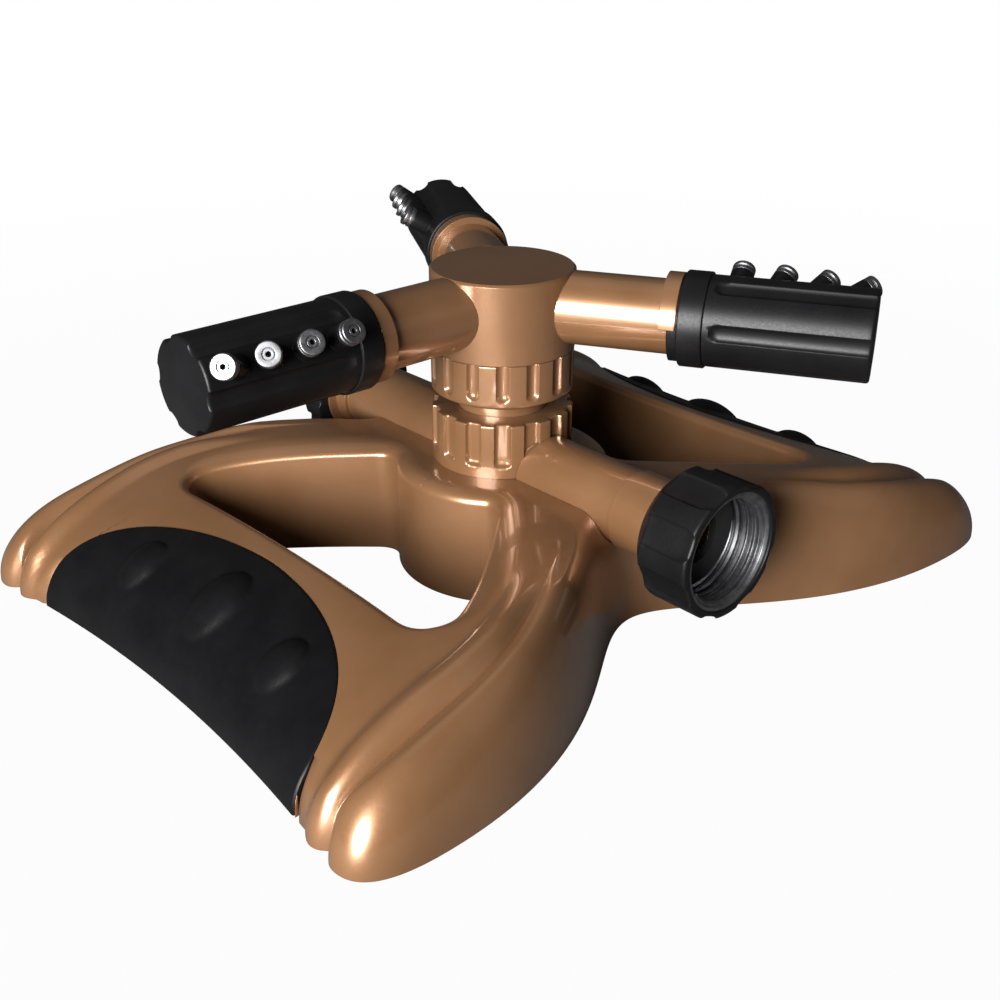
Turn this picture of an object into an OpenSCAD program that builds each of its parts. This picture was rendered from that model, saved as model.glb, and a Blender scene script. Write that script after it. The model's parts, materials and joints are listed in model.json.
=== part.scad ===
// Three-arm rotary lawn sprinkler on a moulded two-wing base.
// Origin on the ground under the rotor axis, +Z up, +X towards the hose inlet.

/* [Base] */
// Length of the base across its two wings
base_l = 226; // [215:1:240]
// Width of the base across its legs
base_w = 172.6; // [168:0.2:185]
// Width of the base at its waist, under the inlet tube
waist_w = 99; // [95:1:105]
// Height of the flat top that carries the tee
base_top = 31.2; // [29:0.1:34]
// Wall of the moulded shell
base_wall = 3; // [2.6:0.1:3.4]
// Radius of the round boss in the middle
boss_r = 29; // [27:0.5:30]
// Distance that the panel's lower edge is set back from the foot tips
edge_in = 7.5; // [6:0.5:10]
// How much further out the lower edge is at its corners than at its middle
edge_bow = 6; // [3:0.5:8]
// Width of the panel between its lower edge and the opening
panel_w = 36.7; // [34:0.1:40]
// Width of each leg beside the opening
leg_w = 34; // [32:0.5:37]
// Height of the raised bead beside the panel
bead_h = 1.4; // [0.6:0.1:2]
// Width of the raised bead
bead_w = 8; // [6:0.5:10]
// Depth of the groove between the bead and the foot
groove_d = 1.8; // [0.8:0.1:2.4]
// Height by which the leg swells above the groove
bulb_h = 2.2; // [1:0.1:3]

/* [Grip pads] */
// Half width of the soft pad
pad_a = 57.3; // [50:0.1:58]
// Reach of the pad from its lower edge towards the opening
pad_b = 32.2; // [27:0.1:33]
// Depth of the pad's recess
pad_t = 1.5; // [1.2:0.1:1.7]
// How far the pad stands out of its recess
pad_proud = 0.4; // [0.2:0.1:0.8]
// Height of the three oval bumps on the pad
bump_h = 2.2; // [1:0.1:3]
// Distance of the outer bumps from the middle one
bump_pitch = 31; // [28:0.5:34]

/* [Tee] */
// Outer radius of the horizontal tube
tube_r = 9.8; // [9.6:0.1:10.4]
// Bore radius of the horizontal tube
tube_bore = 7; // [6:0.1:7.4]
// Distance from the rotor axis to the tube's end faces
tube_end = 62; // [61:0.5:64]
// Radius of the shoulder at the inlet end
shoulder_r = 10.4; // [10.1:0.1:11]
// Length of the shoulder at the inlet end
shoulder_l = 12.5; // [8:0.5:12.5]
// Radius of the upright riser inside the lower ring
riser_r = 13.5; // [13:0.1:14]
// Length of the threaded outlet under the cap
outlet_l = 6; // [5:0.1:6.2]
// Outer radius of the outlet's thread
outlet_r = 13.4; // [13:0.1:13.6]

/* [Rotor bearing] */
// Outer radius of the two ribbed rings
ring_r = 18.9; // [18.5:0.1:19.5]
// Height of the lower ribbed ring
lower_ring_h = 14.7; // [13.5:0.1:16]
// Gap in which the neck shows between the rings
neck_gap = 3.6; // [3:0.1:5]
// Height of the upper ribbed ring
upper_ring_h = 12.6; // [12:0.1:13.4]
// Number of flutes round each ring
ring_flutes = 15; // [12:1:18]
// Radius of each flute
flute_r = 1.8; // [1.4:0.1:2.1]
// Radius of the brass neck that the rotor turns on
neck_r = 12; // [11.5:0.1:12.4]
// Radius of the neck's head
neck_head_r = 14.2; // [13.9:0.1:14.3]
// Bore radius of the neck, which the water runs through
neck_bore = 6; // [5:0.1:6.5]
// Running clearance of the bearing and of the nozzle barrels
run_gap = 0.08; // [0.04:0.01:0.1]

/* [Hub and arms] */
// Radius of the hub
hub_r = 19; // [18.5:0.1:20]
// Height of the hub
hub_h = 20.9; // [20.2:0.1:23]
// Radius of the arm tubes
arm_r = 9.4; // [9.2:0.1:9.6]
// Bore radius of the arm tubes
arm_bore = 5.6; // [5:0.1:6]
// Distance from the rotor axis to the arm flange
arm_flange = 43; // [41:0.5:46]
// Length of the arm flange
flange_l = 4.4; // [4.2:0.1:6]
// Angle covered by the flange, which stops the nozzle barrel
flange_arc = 240; // [200:1:250]
// Number of arms
arms = 3; // [3]

/* [Nozzle barrels] */
// Radius of the nozzle barrel
barrel_r = 11.4; // [11.2:0.1:12]
// Radius of the barrel's collar
collar_r = 12; // [11.8:0.1:12.4]
// Length of the barrel's collar
collar_l = 6.2; // [5:0.1:8]
// Length of the whole barrel
barrel_l = 46.2; // [44:0.1:52]
// Angle of the barrel's stop tab
tab_arc = 58; // [40:1:60]
// Number of nozzles on each barrel
jets = 4; // [3:1:4]
// Distance from the barrel's inner end to the first nozzle
jet_first = 11.4; // [11:0.1:12.5]
// Distance between nozzles along the barrel
jet_pitch = 9.2; // [8.6:0.1:9.6]
// Outward tilt of the first nozzle
jet_tilt = 3; // [0:1:6]
// Further tilt of each next nozzle
jet_fan = 14; // [8:1:15]
// Height of the nozzle row above the horizontal, in degrees
jet_row = 29; // [20:1:35]
// Radius of a nozzle
jet_r = 2.95; // [2.6:0.05:3.2]
// How far the black stem stands out of the barrel
stem_h = 5; // [4:0.1:6]
// How far the metal jet stands out of its stem
jet_h = 2.6; // [2:0.1:3.4]

/* [Hose coupling] */
// Outer radius of the swivel collar
grip_r = 17; // [16.6:0.1:18.5]
// Length of the swivel collar
grip_l = 16.8; // [16:0.1:18]
// Radius of the hose thread's bore
thread_r = 13.5; // [13.3:0.05:13.7]
// Outer radius of the metal insert
insert_r = 14.9; // [14.7:0.1:15.4]

/* [End cap] */
// Outer radius of the end cap
cap_r = 17; // [16.5:0.1:18]
// Length of the end cap
cap_l = 8.5; // [8.2:0.1:12]

/* [Hidden] */
fine = 96;
medium = 48;
sliver = 0.01;
fit_gap = 0.02;
loose_gap = 0.35;

bronze = "#a8794f";
black = "#1c1c1e";
steel = "#9a9a9c";
brass = "#c8a45c";
rubber = "#303030";

// Points on a cubic curve with four control points
function bez(p, t) = p[0] * pow(1 - t, 3) + p[1] * 3 * t * pow(1 - t, 2)
  + p[2] * 3 * t * t * (1 - t) + p[3] * pow(t, 3);
function mix(a, b, t) = a + (b - a) * t;
function clamp(v) = min(1, max(0, v));
function smooth(a, b, v) = let (t = clamp((v - a) / (b - a))) t * t * (3 - 2 * t);

// Plan of one quarter of the base, with every boundary moved inwards by w
cols_a = 6;
half_w = base_w / 2;
half_l = base_l / 2;
half_waist = waist_w / 2;
trough_r = (tube_r + 2 * fit_gap) / cos(45 / cols_a);
edge_mid = half_l - edge_in;
toe_x = half_w - 15.4;
tip_x = half_w - 10.3;
tip_y = half_l - 20;
open_y = edge_mid - panel_w;
open_x = half_w - leg_w;
crest_x = half_waist - 9.5;
flat_y = 20;
boss_end = 52;
wall_dir = [0.68, 0.73];
rim_h = 3.2;
pad_y = half_l - 5;

// Rise of the bead and the groove at a distance s inwards from the groove's line
function rib(s) = bead_h * sin(180 * clamp((s - 0.8) / bead_w)) - groove_d * exp(-s / 1.1);
// Lower edge of the panel, y for a given x
function edge_y(x, w) = edge_mid + edge_bow * pow(x / toe_x, 2) - w
  + (w > 0 ? 0 : rib(toe_x - abs(x)));
// The groove's line in plan, x for a given y
function groove_x(y) = let (u = clamp((y - trough_r) / 68))
  mix(crest_x, toe_x + 1, pow(1 - pow(1 - u, 2), 1.4));
// Height of the top surface, without the opening's rim
function dome(x, y, w) = let (u = max(0, y - flat_y) / max(1, edge_y(x, w) - flat_y))
  (base_top - w) * pow(max(0, 1 - pow(u, 2.1)), 1 / 2.1);
function rib_fade(x, y) = smooth(38, 62, y) * clamp((edge_y(x, 0) - y) / 4);
function face(x, y, w) = dome(x, y, w)
  + (w > 0 ? 0 : rib(groove_x(y) - x) * rib_fade(x, y));
// Half-round trough that the tube lies in
function trough(y, w) = abs(y) < trough_r + w ? base_top - sqrt(pow(trough_r + w, 2) - y * y) : base_top;

// Columns of the quarter's mesh: across the trough, along the leg, along the panel's lower edge
cols_b = 26;
cols_c = 15;
cols = cols_a + cols_b + cols_c;
leg_cols = cols_a + cols_b;
side_part = 0.72;
tip_part = 0.9;
corner_xs = [0, 1, 2.4, 4, 6, 8.8];
pad_first = len(corner_xs);
function leg_s(k) = (k - cols_a) / cols_b;
function edge_x(k) = let (q = k - leg_cols)
  q < pad_first ? toe_x - corner_xs[q]
  : q == pad_first ? pad_a + 0.5
  : pad_a * cos(90 * (q - pad_first - 1) / (cols_c - pad_first - 1));
// Share of the leg's length at a column: the columns lie closer together beside the boss
function leg_h(k) = lookup(leg_s(k), [[0, 0], [on_axis, 0.02], [on_boss, 0.1], [on_nook, 0.18], [on_leg, 0.76], [1, 1]]);
// Outline of the leg on the ground
function leg_out(k, w) = k <= cols_a ? side_out(0.176 * sin(90 * k / cols_a), w)
  : let (s = pow(leg_h(k), 1 / 0.9))
    s < side_part ? side_out(mix(0.176, 1, s / side_part), w)
    : s < tip_part ? bez([[half_w - w, tip_y], [half_w - w, tip_y + 14],
        [half_w - 3.5 - w, half_l - w], [tip_x, half_l - w]], (s - side_part) / (tip_part - side_part))
    : bez([[tip_x, half_l - w], [tip_x - 3, half_l - w], [toe_x + 1, edge_y(toe_x, w) + 1.5],
        [toe_x, edge_y(toe_x, w)]], (s - tip_part) / (1 - tip_part));
function side_out(t, w) = bez([[half_waist - w, 0], [half_waist - w, 18],
  [half_w - w, 38], [half_w - w, tip_y]], t);
// The groove's line, where leg and panel meet
function guide(k, w) = k <= cols_a ? [crest_x, (trough_r + w) * sin(90 * k / cols_a)]
  : let (s = leg_h(k), y = mix(trough_r + w, edge_y(toe_x, w), s))
    [mix(groove_x(y), toe_x, pow(s, 8)), y];
function panel_out(k, w) = k <= leg_cols ? guide(k, w) : [edge_x(k), edge_y(edge_x(k), w)];
// Inner boundary: the middle plane, then the edge of the opening
on_axis = 3 / 26;
on_boss = 0.3;
on_nook = 0.42;
on_leg = 0.76;
function nook_a(w) = (boss_r - w) * [cos(boss_end), sin(boss_end)];
function nook_b(w) = [open_x - 27, 24.3] + w * [wall_dir[1], -wall_dir[0]];
function corner(t, w) = bez([[open_x - 0.5 + w, open_y - 8.8], [open_x + 1.8 + w, open_y - 3],
  [open_x - 1.5 + w, open_y + 1.8 + w], [open_x - 9, open_y + 1.4 + w]], t);
function panel_in(k, w) = k <= cols_a ? [0, (trough_r + w) * sin(90 * k / cols_a)]
  : k <= leg_cols ? let (s = leg_s(k))
      s <= on_axis ? [0, mix(trough_r + w, boss_r - w, s / on_axis)]
      : s <= on_boss ? let (a = mix(90, boss_end, (s - on_axis) / (on_boss - on_axis)))
          (boss_r - w) * [cos(a), sin(a)]
      : s <= on_nook ? bez([nook_a(w), nook_a(w) + 3 * [sin(boss_end), -cos(boss_end)],
          nook_b(w) - 3 * wall_dir, nook_b(w)], (s - on_boss) / (on_nook - on_boss))
      : s <= on_leg ? bez([nook_b(w), nook_b(w) + 14 * wall_dir, [open_x - 4.5 + w, open_y - 18.8],
          [open_x - 0.5 + w, open_y - 8.8]], (s - on_nook) / (on_leg - on_nook))
      : corner(0.65 * (s - on_leg) / (1 - on_leg), w)
  : let (q = (k - leg_cols) / cols_c)
      q < 0.25 ? corner(mix(0.65, 1, q / 0.25), w)
      : let (x = (open_x - 9) * cos(90 * (q - 0.25) / 0.75)) [x, open_y + w + 1.4 * pow(x / (open_x - 9), 2)];
first_open = cols_a + 3;
// Middle control point of a column: beside the boss the columns swing round the corner of the opening
nook_c = [37, 22];
function bend(k, o, i) = let (s = leg_s(k))
  k <= cols_a || k > leg_cols || s >= 0.5 ? (o + i) / 2
  : s > on_nook ? mix(nook_c, (o + i) / 2, (s - on_nook) / (0.5 - on_nook))
  : s > (on_boss + on_nook) / 2 ? mix([24, 12], nook_c, 2 * (s - on_boss) / (on_nook - on_boss) - 1)
  : s > on_boss ? mix([13, 12], [24, 12], 2 * (s - on_boss) / (on_nook - on_boss))
  : s > on_axis ? mix([0, 15], [13, 12], (s - on_axis) / (on_boss - on_axis))
  : [0, mix(trough_r, 15, s / on_axis)];
function rim_w(k) = k < first_open ? 0
  : k > leg_cols ? 3
  : let (s = leg_s(k)) s < 0.5 ? mix(4.5, 8, smooth(on_boss, 0.5, s)) : mix(8, 3, smooth(0.66, 0.95, s));

// Distance of a point from the opening's edge, so that the rim keeps its width round the corners
edge_pts = [for (k = [first_open : cols]) panel_in(k, 0)];
function off_line(p, a, b) = let (v = b - a, l = v * v) norm(p - a - (l > 0 ? clamp((p - a) * v / l) : 0) * v);
function edge_gap(p) = min([for (i = [1 : len(edge_pts) - 1]) off_line(p, edge_pts[i - 1], edge_pts[i])]);
function rim_near(p, i = 0, best = 1e6, w = 0) = i == len(edge_pts) ? w
  : let (g = norm(p - edge_pts[i])) g < best ? rim_near(p, i + 1, g, rim_w(first_open + i)) : rim_near(p, i + 1, best, w);

// Distances of the mesh lines from a column's outer end, l being the column's length and r the rim's width
function levels(l, r, e, w) = w > 0 ? [0, 1.5, 5, 11, mix(11, l, 0.5), l]
  : let (a = max(e, 8.5), b = l - max(r, 1))
    concat([for (f = [0, 0.03, 0.12, 0.34, 0.66, 1]) e * f], [mix(a, b, 0.33), mix(a, b, 0.66)],
      [for (f = [1, 0.6, 0.3, 0.1, 0]) l - f * max(r, 1)]);
// Distance from the lower edge to the end of the pad along a column
function pad_end(k) = let (x = k > leg_cols ? edge_x(k) : toe_x)
  x < pad_a + 0.2 ? edge_y(x, 0) - pad_y + pad_b * sqrt(max(0, 1 - pow(x / pad_a, 2))) + 0.5 : 7;
function panel_pt(k, j, w) = let (
    e = pad_end(k),
    r = rim_w(k),
    o0 = panel_out(k, w), i0 = panel_in(k, w), l0 = norm(o0 - i0),
    d = levels(l0, r, e, w)[j],
    t = d / l0, c0 = bend(k, o0, i0),
    p = o0 * pow(1 - t, 2) + 2 * c0 * t * (1 - t) + i0 * t * t,
    g = w == 0 && norm(p - i0) < 16 ? edge_gap(p) : 16,
    rn = g < 12 ? rim_near(p) : 0,
    drop = g < rn ? rim_h * (1 - sqrt(max(0, 1 - pow(1 - g / rn, 2)))) : 0)
  [p[0], p[1], d == 0 && k >= leg_cols ? 0 : max(0.05, min(face(p[0], p[1], w), trough(p[1], w)) - drop)];
function leg_pt(k, j, n, w) = let (
    c = 1 - cos(90 * j / n),
    o = leg_out(k, w), g = guide(k, w),
    p = mix(o, g, c),
    zg = face(g[0], g[1], w),
    z = zg * pow(max(0, 1 - pow(1 - c, 2.1)), 1 / 2.1) + bulb_h * sin(180 * pow(c, 1.5)) * smooth(cols_a + 4, cols_a + 14, k))
  [p[0], p[1], k == leg_cols || j == 0 ? 0 : min(z, trough(p[1], w))];

// Height of the pad's three bumps
function lens(x, y, cx, cy, a, b) = let (r = pow(abs(x - cx) / a, 2) + pow(abs(y - cy) / b, 2)) max(0, 1 - r);
function bumps(x, y) = bump_h * (lens(x, y, 0, pad_y - 17, 7.4, 9.2)
  + 0.8 * (lens(x, y, bump_pitch, pad_y - 14.2, 5.8, 6.6) + lens(x, y, -bump_pitch, pad_y - 14.2, 5.8, 6.6)));

// A sheet of quads between rows of points, as faces with an index offset
function grid_faces(rows, n, first) = [for (i = [0 : rows - 2], j = [0 : n - 2])
  for (f = [[0, 1, n + 1], [0, n + 1, n]]) [for (q = f) first + i * n + j + q]];
function flip(faces) = [for (f = faces) [f[2], f[1], f[0]]];

// One quarter of the shell as sheets: each is a list of rows of points
panel_n = 13;
leg_n = 7;
leg_in_n = 3;
function sheets() = [
  [for (k = [0 : cols]) [for (j = [0 : panel_n - 1]) panel_pt(k, j, 0)]],
  [for (k = [0 : leg_cols]) [for (j = [0 : leg_n]) leg_pt(k, j, leg_n, 0)]],
  [for (k = [0 : cols]) [for (j = [5 : -1 : 0]) panel_pt(k, j, base_wall)]],
  [for (k = [0 : leg_cols]) [for (j = [leg_in_n : -1 : 0]) leg_pt(k, j, leg_in_n, base_wall)]],
  [for (k = [first_open : cols]) [panel_pt(k, panel_n - 1, 0), ground(panel_in(k, 0))]],
  [for (k = [first_open : cols]) [ground(panel_in(k, 0)), ground(panel_in(k, base_wall))]],
  [for (k = [first_open : cols]) [ground(panel_in(k, base_wall)), panel_pt(k, 5, base_wall)]],
  [for (k = [0 : leg_cols]) [leg_pt(k, 0, leg_in_n, base_wall), leg_pt(k, 0, leg_n, 0)]],
  [for (k = [leg_cols : cols]) [panel_pt(k, 0, base_wall), panel_pt(k, 0, 0)]]
];
function ground(p) = [p[0], p[1], 0];
function flat(rows) = [for (r = rows) for (p = r) p];

function shift(fs, d) = [for (f = fs) f + [d, d, d]];
module sheet_solid(list) {
  sizes = [for (s = list) len(s) * len(s[0])];
  starts = [for (i = 0, a = 0; i < len(sizes); a = a + sizes[i], i = i + 1) a];
  pts = [for (s = list) for (p = flat(s)) p];
  n = len(pts);
  quarter = [for (i = [0 : len(list) - 1]) for (f = grid_faces(len(list[i]), len(list[i][0]), starts[i])) f];
  all_pts = concat([for (p = pts) p], [for (p = pts) [-p[0], p[1], p[2]]],
    [for (p = pts) [p[0], -p[1], p[2]]], [for (p = pts) [-p[0], -p[1], p[2]]]);
  polyhedron(all_pts, concat(quarter, shift(flip(quarter), n), shift(flip(quarter), 2 * n), shift(quarter, 3 * n)),
    convexity = 10);
}

// Moulded base: a hollow shell, open underneath, with flat seats for the tee's screws
screw_xs = [-34, -20, 20, 34];
boss_out = 3.2;
head_r = 4.8;
seat_z = base_top - trough_r - base_wall - 0.6;
module base_shell() color(bronze)
  difference() {
    union() {
      sheet_solid(sheets());
      for (x = screw_xs) translate([x, 0, seat_z]) cylinder(r = head_r + 1, h = base_wall - 0.4, $fn = medium);
    }
    for (x = screw_xs) translate([x, 0, 0]) cylinder(r = boss_out + loose_gap, h = base_top, $fn = medium);
    pad_bed();
    mirror([0, 1, 0]) pad_bed();
  }

// Soft pad in the recess of a wing
pad_cols = 26;
pad_rows = 9;
pad_gap = 0.25;
function pad_pt(k, j, lift, gap, low, bumpy) = let (
    x = (pad_a - gap) * -cos(180 * k / pad_cols),
    e = max(0.6, edge_y(x, 0) - pad_y + pad_b * sqrt(max(0, 1 - pow(x / pad_a, 2))) - gap),
    d = e * (1 - cos(90 * j / pad_rows)),
    shift = lift * pow(1 - clamp(d / e), 2),
    y = edge_y(x, 0) - d + shift,
    z = dome(x, y - shift, 0) + lift + (bumpy ? bumps(x, y) : 0))
  [x, -y, low < 0 && j == 0 ? low : max(low, z)];
// Solid between two sheets that follow the wing's face at the heights high and under
module pad_solid(high, under, gap, low, bumpy) {
  n = pad_rows + 1;
  m = pad_cols + 1;
  top = [for (k = [0 : pad_cols], j = [0 : pad_rows]) pad_pt(k, j, high, gap, low, bumpy)];
  below = [for (k = [0 : pad_cols], j = [0 : pad_rows]) pad_pt(k, j, under, gap, low, false)];
  rim = concat([for (k = [0 : pad_cols]) k * n], [for (j = [1 : pad_rows]) pad_cols * n + j],
    [for (k = [pad_cols - 1 : -1 : 0]) k * n + pad_rows], [for (j = [pad_rows - 1 : -1 : 1]) j]);
  wall = [for (i = [0 : len(rim) - 1]) let (a = rim[i], b = rim[(i + 1) % len(rim)])
    for (f = [[a, b, b + m * n], [a, b + m * n, a + m * n]]) f];
  polyhedron(concat(top, below), concat(grid_faces(m, n, 0), flip(grid_faces(m, n, m * n)), wall), convexity = 6);
}
module grip_pad() pad_solid(pad_proud, pad_gap - pad_t, pad_gap, 0.3, true);
// Space in the base that the pad is let into
module pad_bed() pad_solid(3, -pad_t, 0, -2, false);
module grip_pad_front() color(black) grip_pad();
module grip_pad_rear() color(black) mirror([0, 1, 0]) grip_pad();

// The tee: horizontal tube, riser for the bearing and the threaded outlet
tube_z = base_top;
ring_top = tube_z + lower_ring_h;
riser_top = ring_top - 1.9;
stem_thread_r = 9;
tail_r = 8.5;
outlet_x = -tube_end - outlet_l;
module on_tube(x) translate([x, 0, tube_z]) rotate([0, 90, 0]) children();
module tee_body() color(bronze)
  difference() {
    union() {
      on_tube(-tube_end) cylinder(r = tube_r, h = 2 * tube_end - 2, $fn = fine);
      on_tube(tube_end - shoulder_l) cylinder(r = shoulder_r, h = shoulder_l, $fn = fine);
      on_tube(-tube_end) cylinder(r = tube_r + 1, h = 4.3, $fn = fine);
      on_tube(outlet_x) cylinder(r = outlet_r, h = outlet_l, $fn = fine);
      translate([0, 0, tube_z]) cylinder(r = riser_r, h = riser_top - tube_z, $fn = fine);
      for (x = screw_xs) translate([x, 0, seat_z + 0.6]) cylinder(r = boss_out, h = 5, $fn = medium);
    }
    on_tube(outlet_x - 1) cylinder(r = tube_bore, h = tube_end * 2 + outlet_l, $fn = fine);
    on_tube(tube_end - tail_l) cylinder(r = tail_r, h = tail_l + 1, $fn = fine);
    translate([0, 0, tube_z]) cylinder(r = neck_bore, h = lower_ring_h, $fn = fine);
    translate([0, 0, stem_z]) cylinder(r = stem_thread_r, h = lower_ring_h, $fn = fine);
    for (x = screw_xs) translate([x, 0, 0]) cylinder(r = screw_r, h = screw_top, $fn = medium);
  }

// Four screws that hold the tee down on the base from below
screw_r = 1.5;
screw_top = tube_z - tube_bore - 0.8;
module tee_screws() color(steel)
  for (x = screw_xs) translate([x, 0, 0])
    difference() {
      union() {
        translate([0, 0, seat_z - 2.4]) cylinder(r = head_r, h = 2.4, $fn = medium);
        translate([0, 0, seat_z - 1]) cylinder(r = screw_r, h = screw_top - seat_z + 0.8, $fn = medium);
      }
      for (a = [0, 90]) rotate(a) translate([-2.2, -0.45, seat_z - 3]) cube([4.4, 0.9, 2]);
    }

// A ribbed ring: flutes round its side, open at the top, with rounded bottoms
module flutes(r, from, to)
  for (k = [0 : ring_flutes - 1]) rotate(6 + 360 * k / ring_flutes) translate([r + 0.3, 0, from]) {
    sphere(r = flute_r, $fn = 32);
    cylinder(r = flute_r, h = to - from, $fn = 32);
  }

// Lower ribbed ring, arched over the tube
module riser_collar() color(bronze)
  difference() {
    translate([0, 0, tube_z]) cylinder(r = ring_r, h = lower_ring_h, $fn = fine);
    translate([0, 0, tube_z - 1]) cylinder(r = riser_r, h = riser_top - tube_z + 1, $fn = fine);
    translate([0, 0, tube_z]) cylinder(r = neck_r, h = lower_ring_h + 1, $fn = fine);
    on_tube(-ring_r - 1) cylinder(r = tube_r + fit_gap, h = 2 * ring_r + 2, $fn = fine);
    flutes(ring_r, tube_z + 2.4 + flute_r, ring_top + 1);
  }

// Brass stem: screwed into the riser, its neck and head carry the rotor
stem_z = tube_z + tube_r + 1;
lip_z = ring_top + neck_gap;
lip_t = 2;
washer_t = 1;
head_z = lip_z + lip_t + washer_t + 0.05;
head_h = 2.8;
spigot_r = 8.5;
spigot_top = head_z + head_h + 6;
module neck_stem() color(bronze)
  difference() {
    union() {
      translate([0, 0, stem_z]) cylinder(r = stem_thread_r, h = spigot_top - stem_z - 3, $fn = fine);
      translate([0, 0, riser_top]) cylinder(r = neck_r, h = head_z - riser_top, $fn = fine);
      translate([0, 0, head_z]) cylinder(r = neck_head_r, h = head_h, $fn = fine);
      translate([0, 0, head_z]) cylinder(r = spigot_r, h = spigot_top - head_z, $fn = fine);
    }
    translate([0, 0, stem_z - 1]) cylinder(r = neck_bore, h = 40, $fn = fine);
    translate([0, 0, head_z + head_h]) tube_ring(stem_thread_r + 1, spigot_r, 6);
    translate([0, 0, seal_z]) tube_ring(spigot_r + 1, spigot_r - 1.5, 1.9);
  }
module tube_ring(outer, inner, h)
  difference() {
    cylinder(r = outer, h = h, $fn = fine);
    translate([0, 0, -1]) cylinder(r = inner, h = h + 2, $fn = fine);
  }
module o_ring(outer, inner)
  let (t = (outer - inner) / 2)
    rotate_extrude($fn = fine) translate([inner + t, 0]) circle(r = t, $fn = 20);

seal_z = head_z + head_h + 2.6;
module neck_seal() color(rubber)
  translate([0, 0, seal_z + 0.95]) o_ring(spigot_r + run_gap / 2, spigot_r - 1.5);
module lower_washer() color(black)
  translate([0, 0, lip_z + lip_t]) tube_ring(neck_head_r, neck_r + loose_gap, washer_t);
module upper_washer() color(black)
  translate([0, 0, head_z + head_h]) tube_ring(neck_head_r - 0.6, spigot_r, washer_t);

// Upper ribbed ring: screwed on the hub, its lip turns under the neck's head
nut_r = neck_head_r + 0.4;
nut_top = lip_z + upper_ring_h;
hub_z = nut_top + 0.2;
module union_nut() color(bronze)
  difference() {
    union() {
      translate([0, 0, lip_z + 1.4]) cylinder(r = ring_r, h = upper_ring_h - 1.4, $fn = fine);
      translate([0, 0, lip_z]) cylinder(r1 = ring_r - 3.2, r2 = ring_r - 2.4, h = 1.5, $fn = fine);
    }
    translate([0, 0, lip_z - 1]) cylinder(r = neck_r + run_gap, h = lip_t + 2, $fn = fine);
    translate([0, 0, lip_z + lip_t]) cylinder(r = nut_r, h = upper_ring_h, $fn = fine);
    flutes(ring_r, lip_z + 3.2 + flute_r, nut_top + 1);
  }

// Hub: water chamber with a threaded spigot below and a socket for every arm
hub_top = hub_z + hub_h;
arm_z = hub_top - arm_r;
socket_r = arm_r - 1.8;
chamber_r = 11.5;
function arm_angle(i) = 30 + (i - 1) * 360 / arms;
module hub() color(bronze)
  difference() {
    union() {
      translate([0, 0, hub_z]) cylinder(r = hub_r, h = hub_h - 0.6, $fn = fine);
      translate([0, 0, hub_top - 0.6]) cylinder(r1 = hub_r, r2 = hub_r - 0.6, h = 0.6, $fn = fine);
      translate([0, 0, head_z + head_h + washer_t + 0.05])
        cylinder(r = nut_r, h = hub_z - head_z - head_h - washer_t, $fn = fine);
    }
    translate([0, 0, head_z]) cylinder(r = spigot_r + run_gap, h = spigot_top - head_z + 0.5, $fn = fine);
    translate([0, 0, spigot_top]) cylinder(r = chamber_r, h = hub_top - spigot_top - 2.2, $fn = fine);
    for (i = [1 : arms]) translate([0, 0, arm_z]) rotate([0, 90, arm_angle(i)]) cylinder(r = socket_r, h = hub_r + 1, $fn = fine);
  }

// Everything on an arm is drawn along +X, with the angle measured from +Y towards +Z
module on_arm(i, s) rotate(arm_angle(i)) translate([s, 0, arm_z]) rotate([90, 0, 90]) children();
spigot_b = arm_r - 1;
spigot_s = arm_flange + flange_l;
spigot_l = 18.6;
barrel_s = spigot_s + 0.2;
seal_s = barrel_s + 9.4;
clip_s = barrel_s + 13.6;
module arc_ring(outer, inner, h, arc)
  rotate_extrude(angle = arc, $fn = fine) translate([inner, 0]) square([outer - inner, h]);
module arm_tube(i) color(bronze)
  difference() {
    union() {
      on_arm(i, hub_r - 6.5) cylinder(r = socket_r, h = 12, $fn = fine);
      difference() {
        on_arm(i, hub_r - 6) cylinder(r = arm_r, h = spigot_s - hub_r + 6, $fn = fine);
        translate([0, 0, hub_z]) cylinder(r = hub_r, h = hub_h + 1, $fn = fine);
      }
      on_arm(i, arm_flange) rotate(-60) rotate_extrude(angle = flange_arc, $fn = fine)
        translate([arm_r - 2, 0.1]) square([barrel_r - arm_r + 1.9, flange_l - 0.4]);
      on_arm(i, spigot_s - 1) cylinder(r = spigot_b, h = spigot_l + 1, $fn = fine);
    }
    on_arm(i, 0) cylinder(r = arm_bore, h = 80, $fn = fine);
    on_arm(i, seal_s) tube_ring(spigot_b + 2, spigot_b - 1.4, 1.8);
    on_arm(i, clip_s) tube_ring(spigot_b + 2, spigot_b - 1.2, 1.2);
  }
module barrel_seal(i) color(rubber) on_arm(i, seal_s + 0.9) o_ring(spigot_b + run_gap / 2, spigot_b - 1.4);
// Snap ring with a gap, which keeps the barrel on its arm
module barrel_clip(i) color(steel) on_arm(i, clip_s + 0.1) rotate(-70) arc_ring(spigot_b + 0.65, spigot_b - 1.2, 1, 320);

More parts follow.
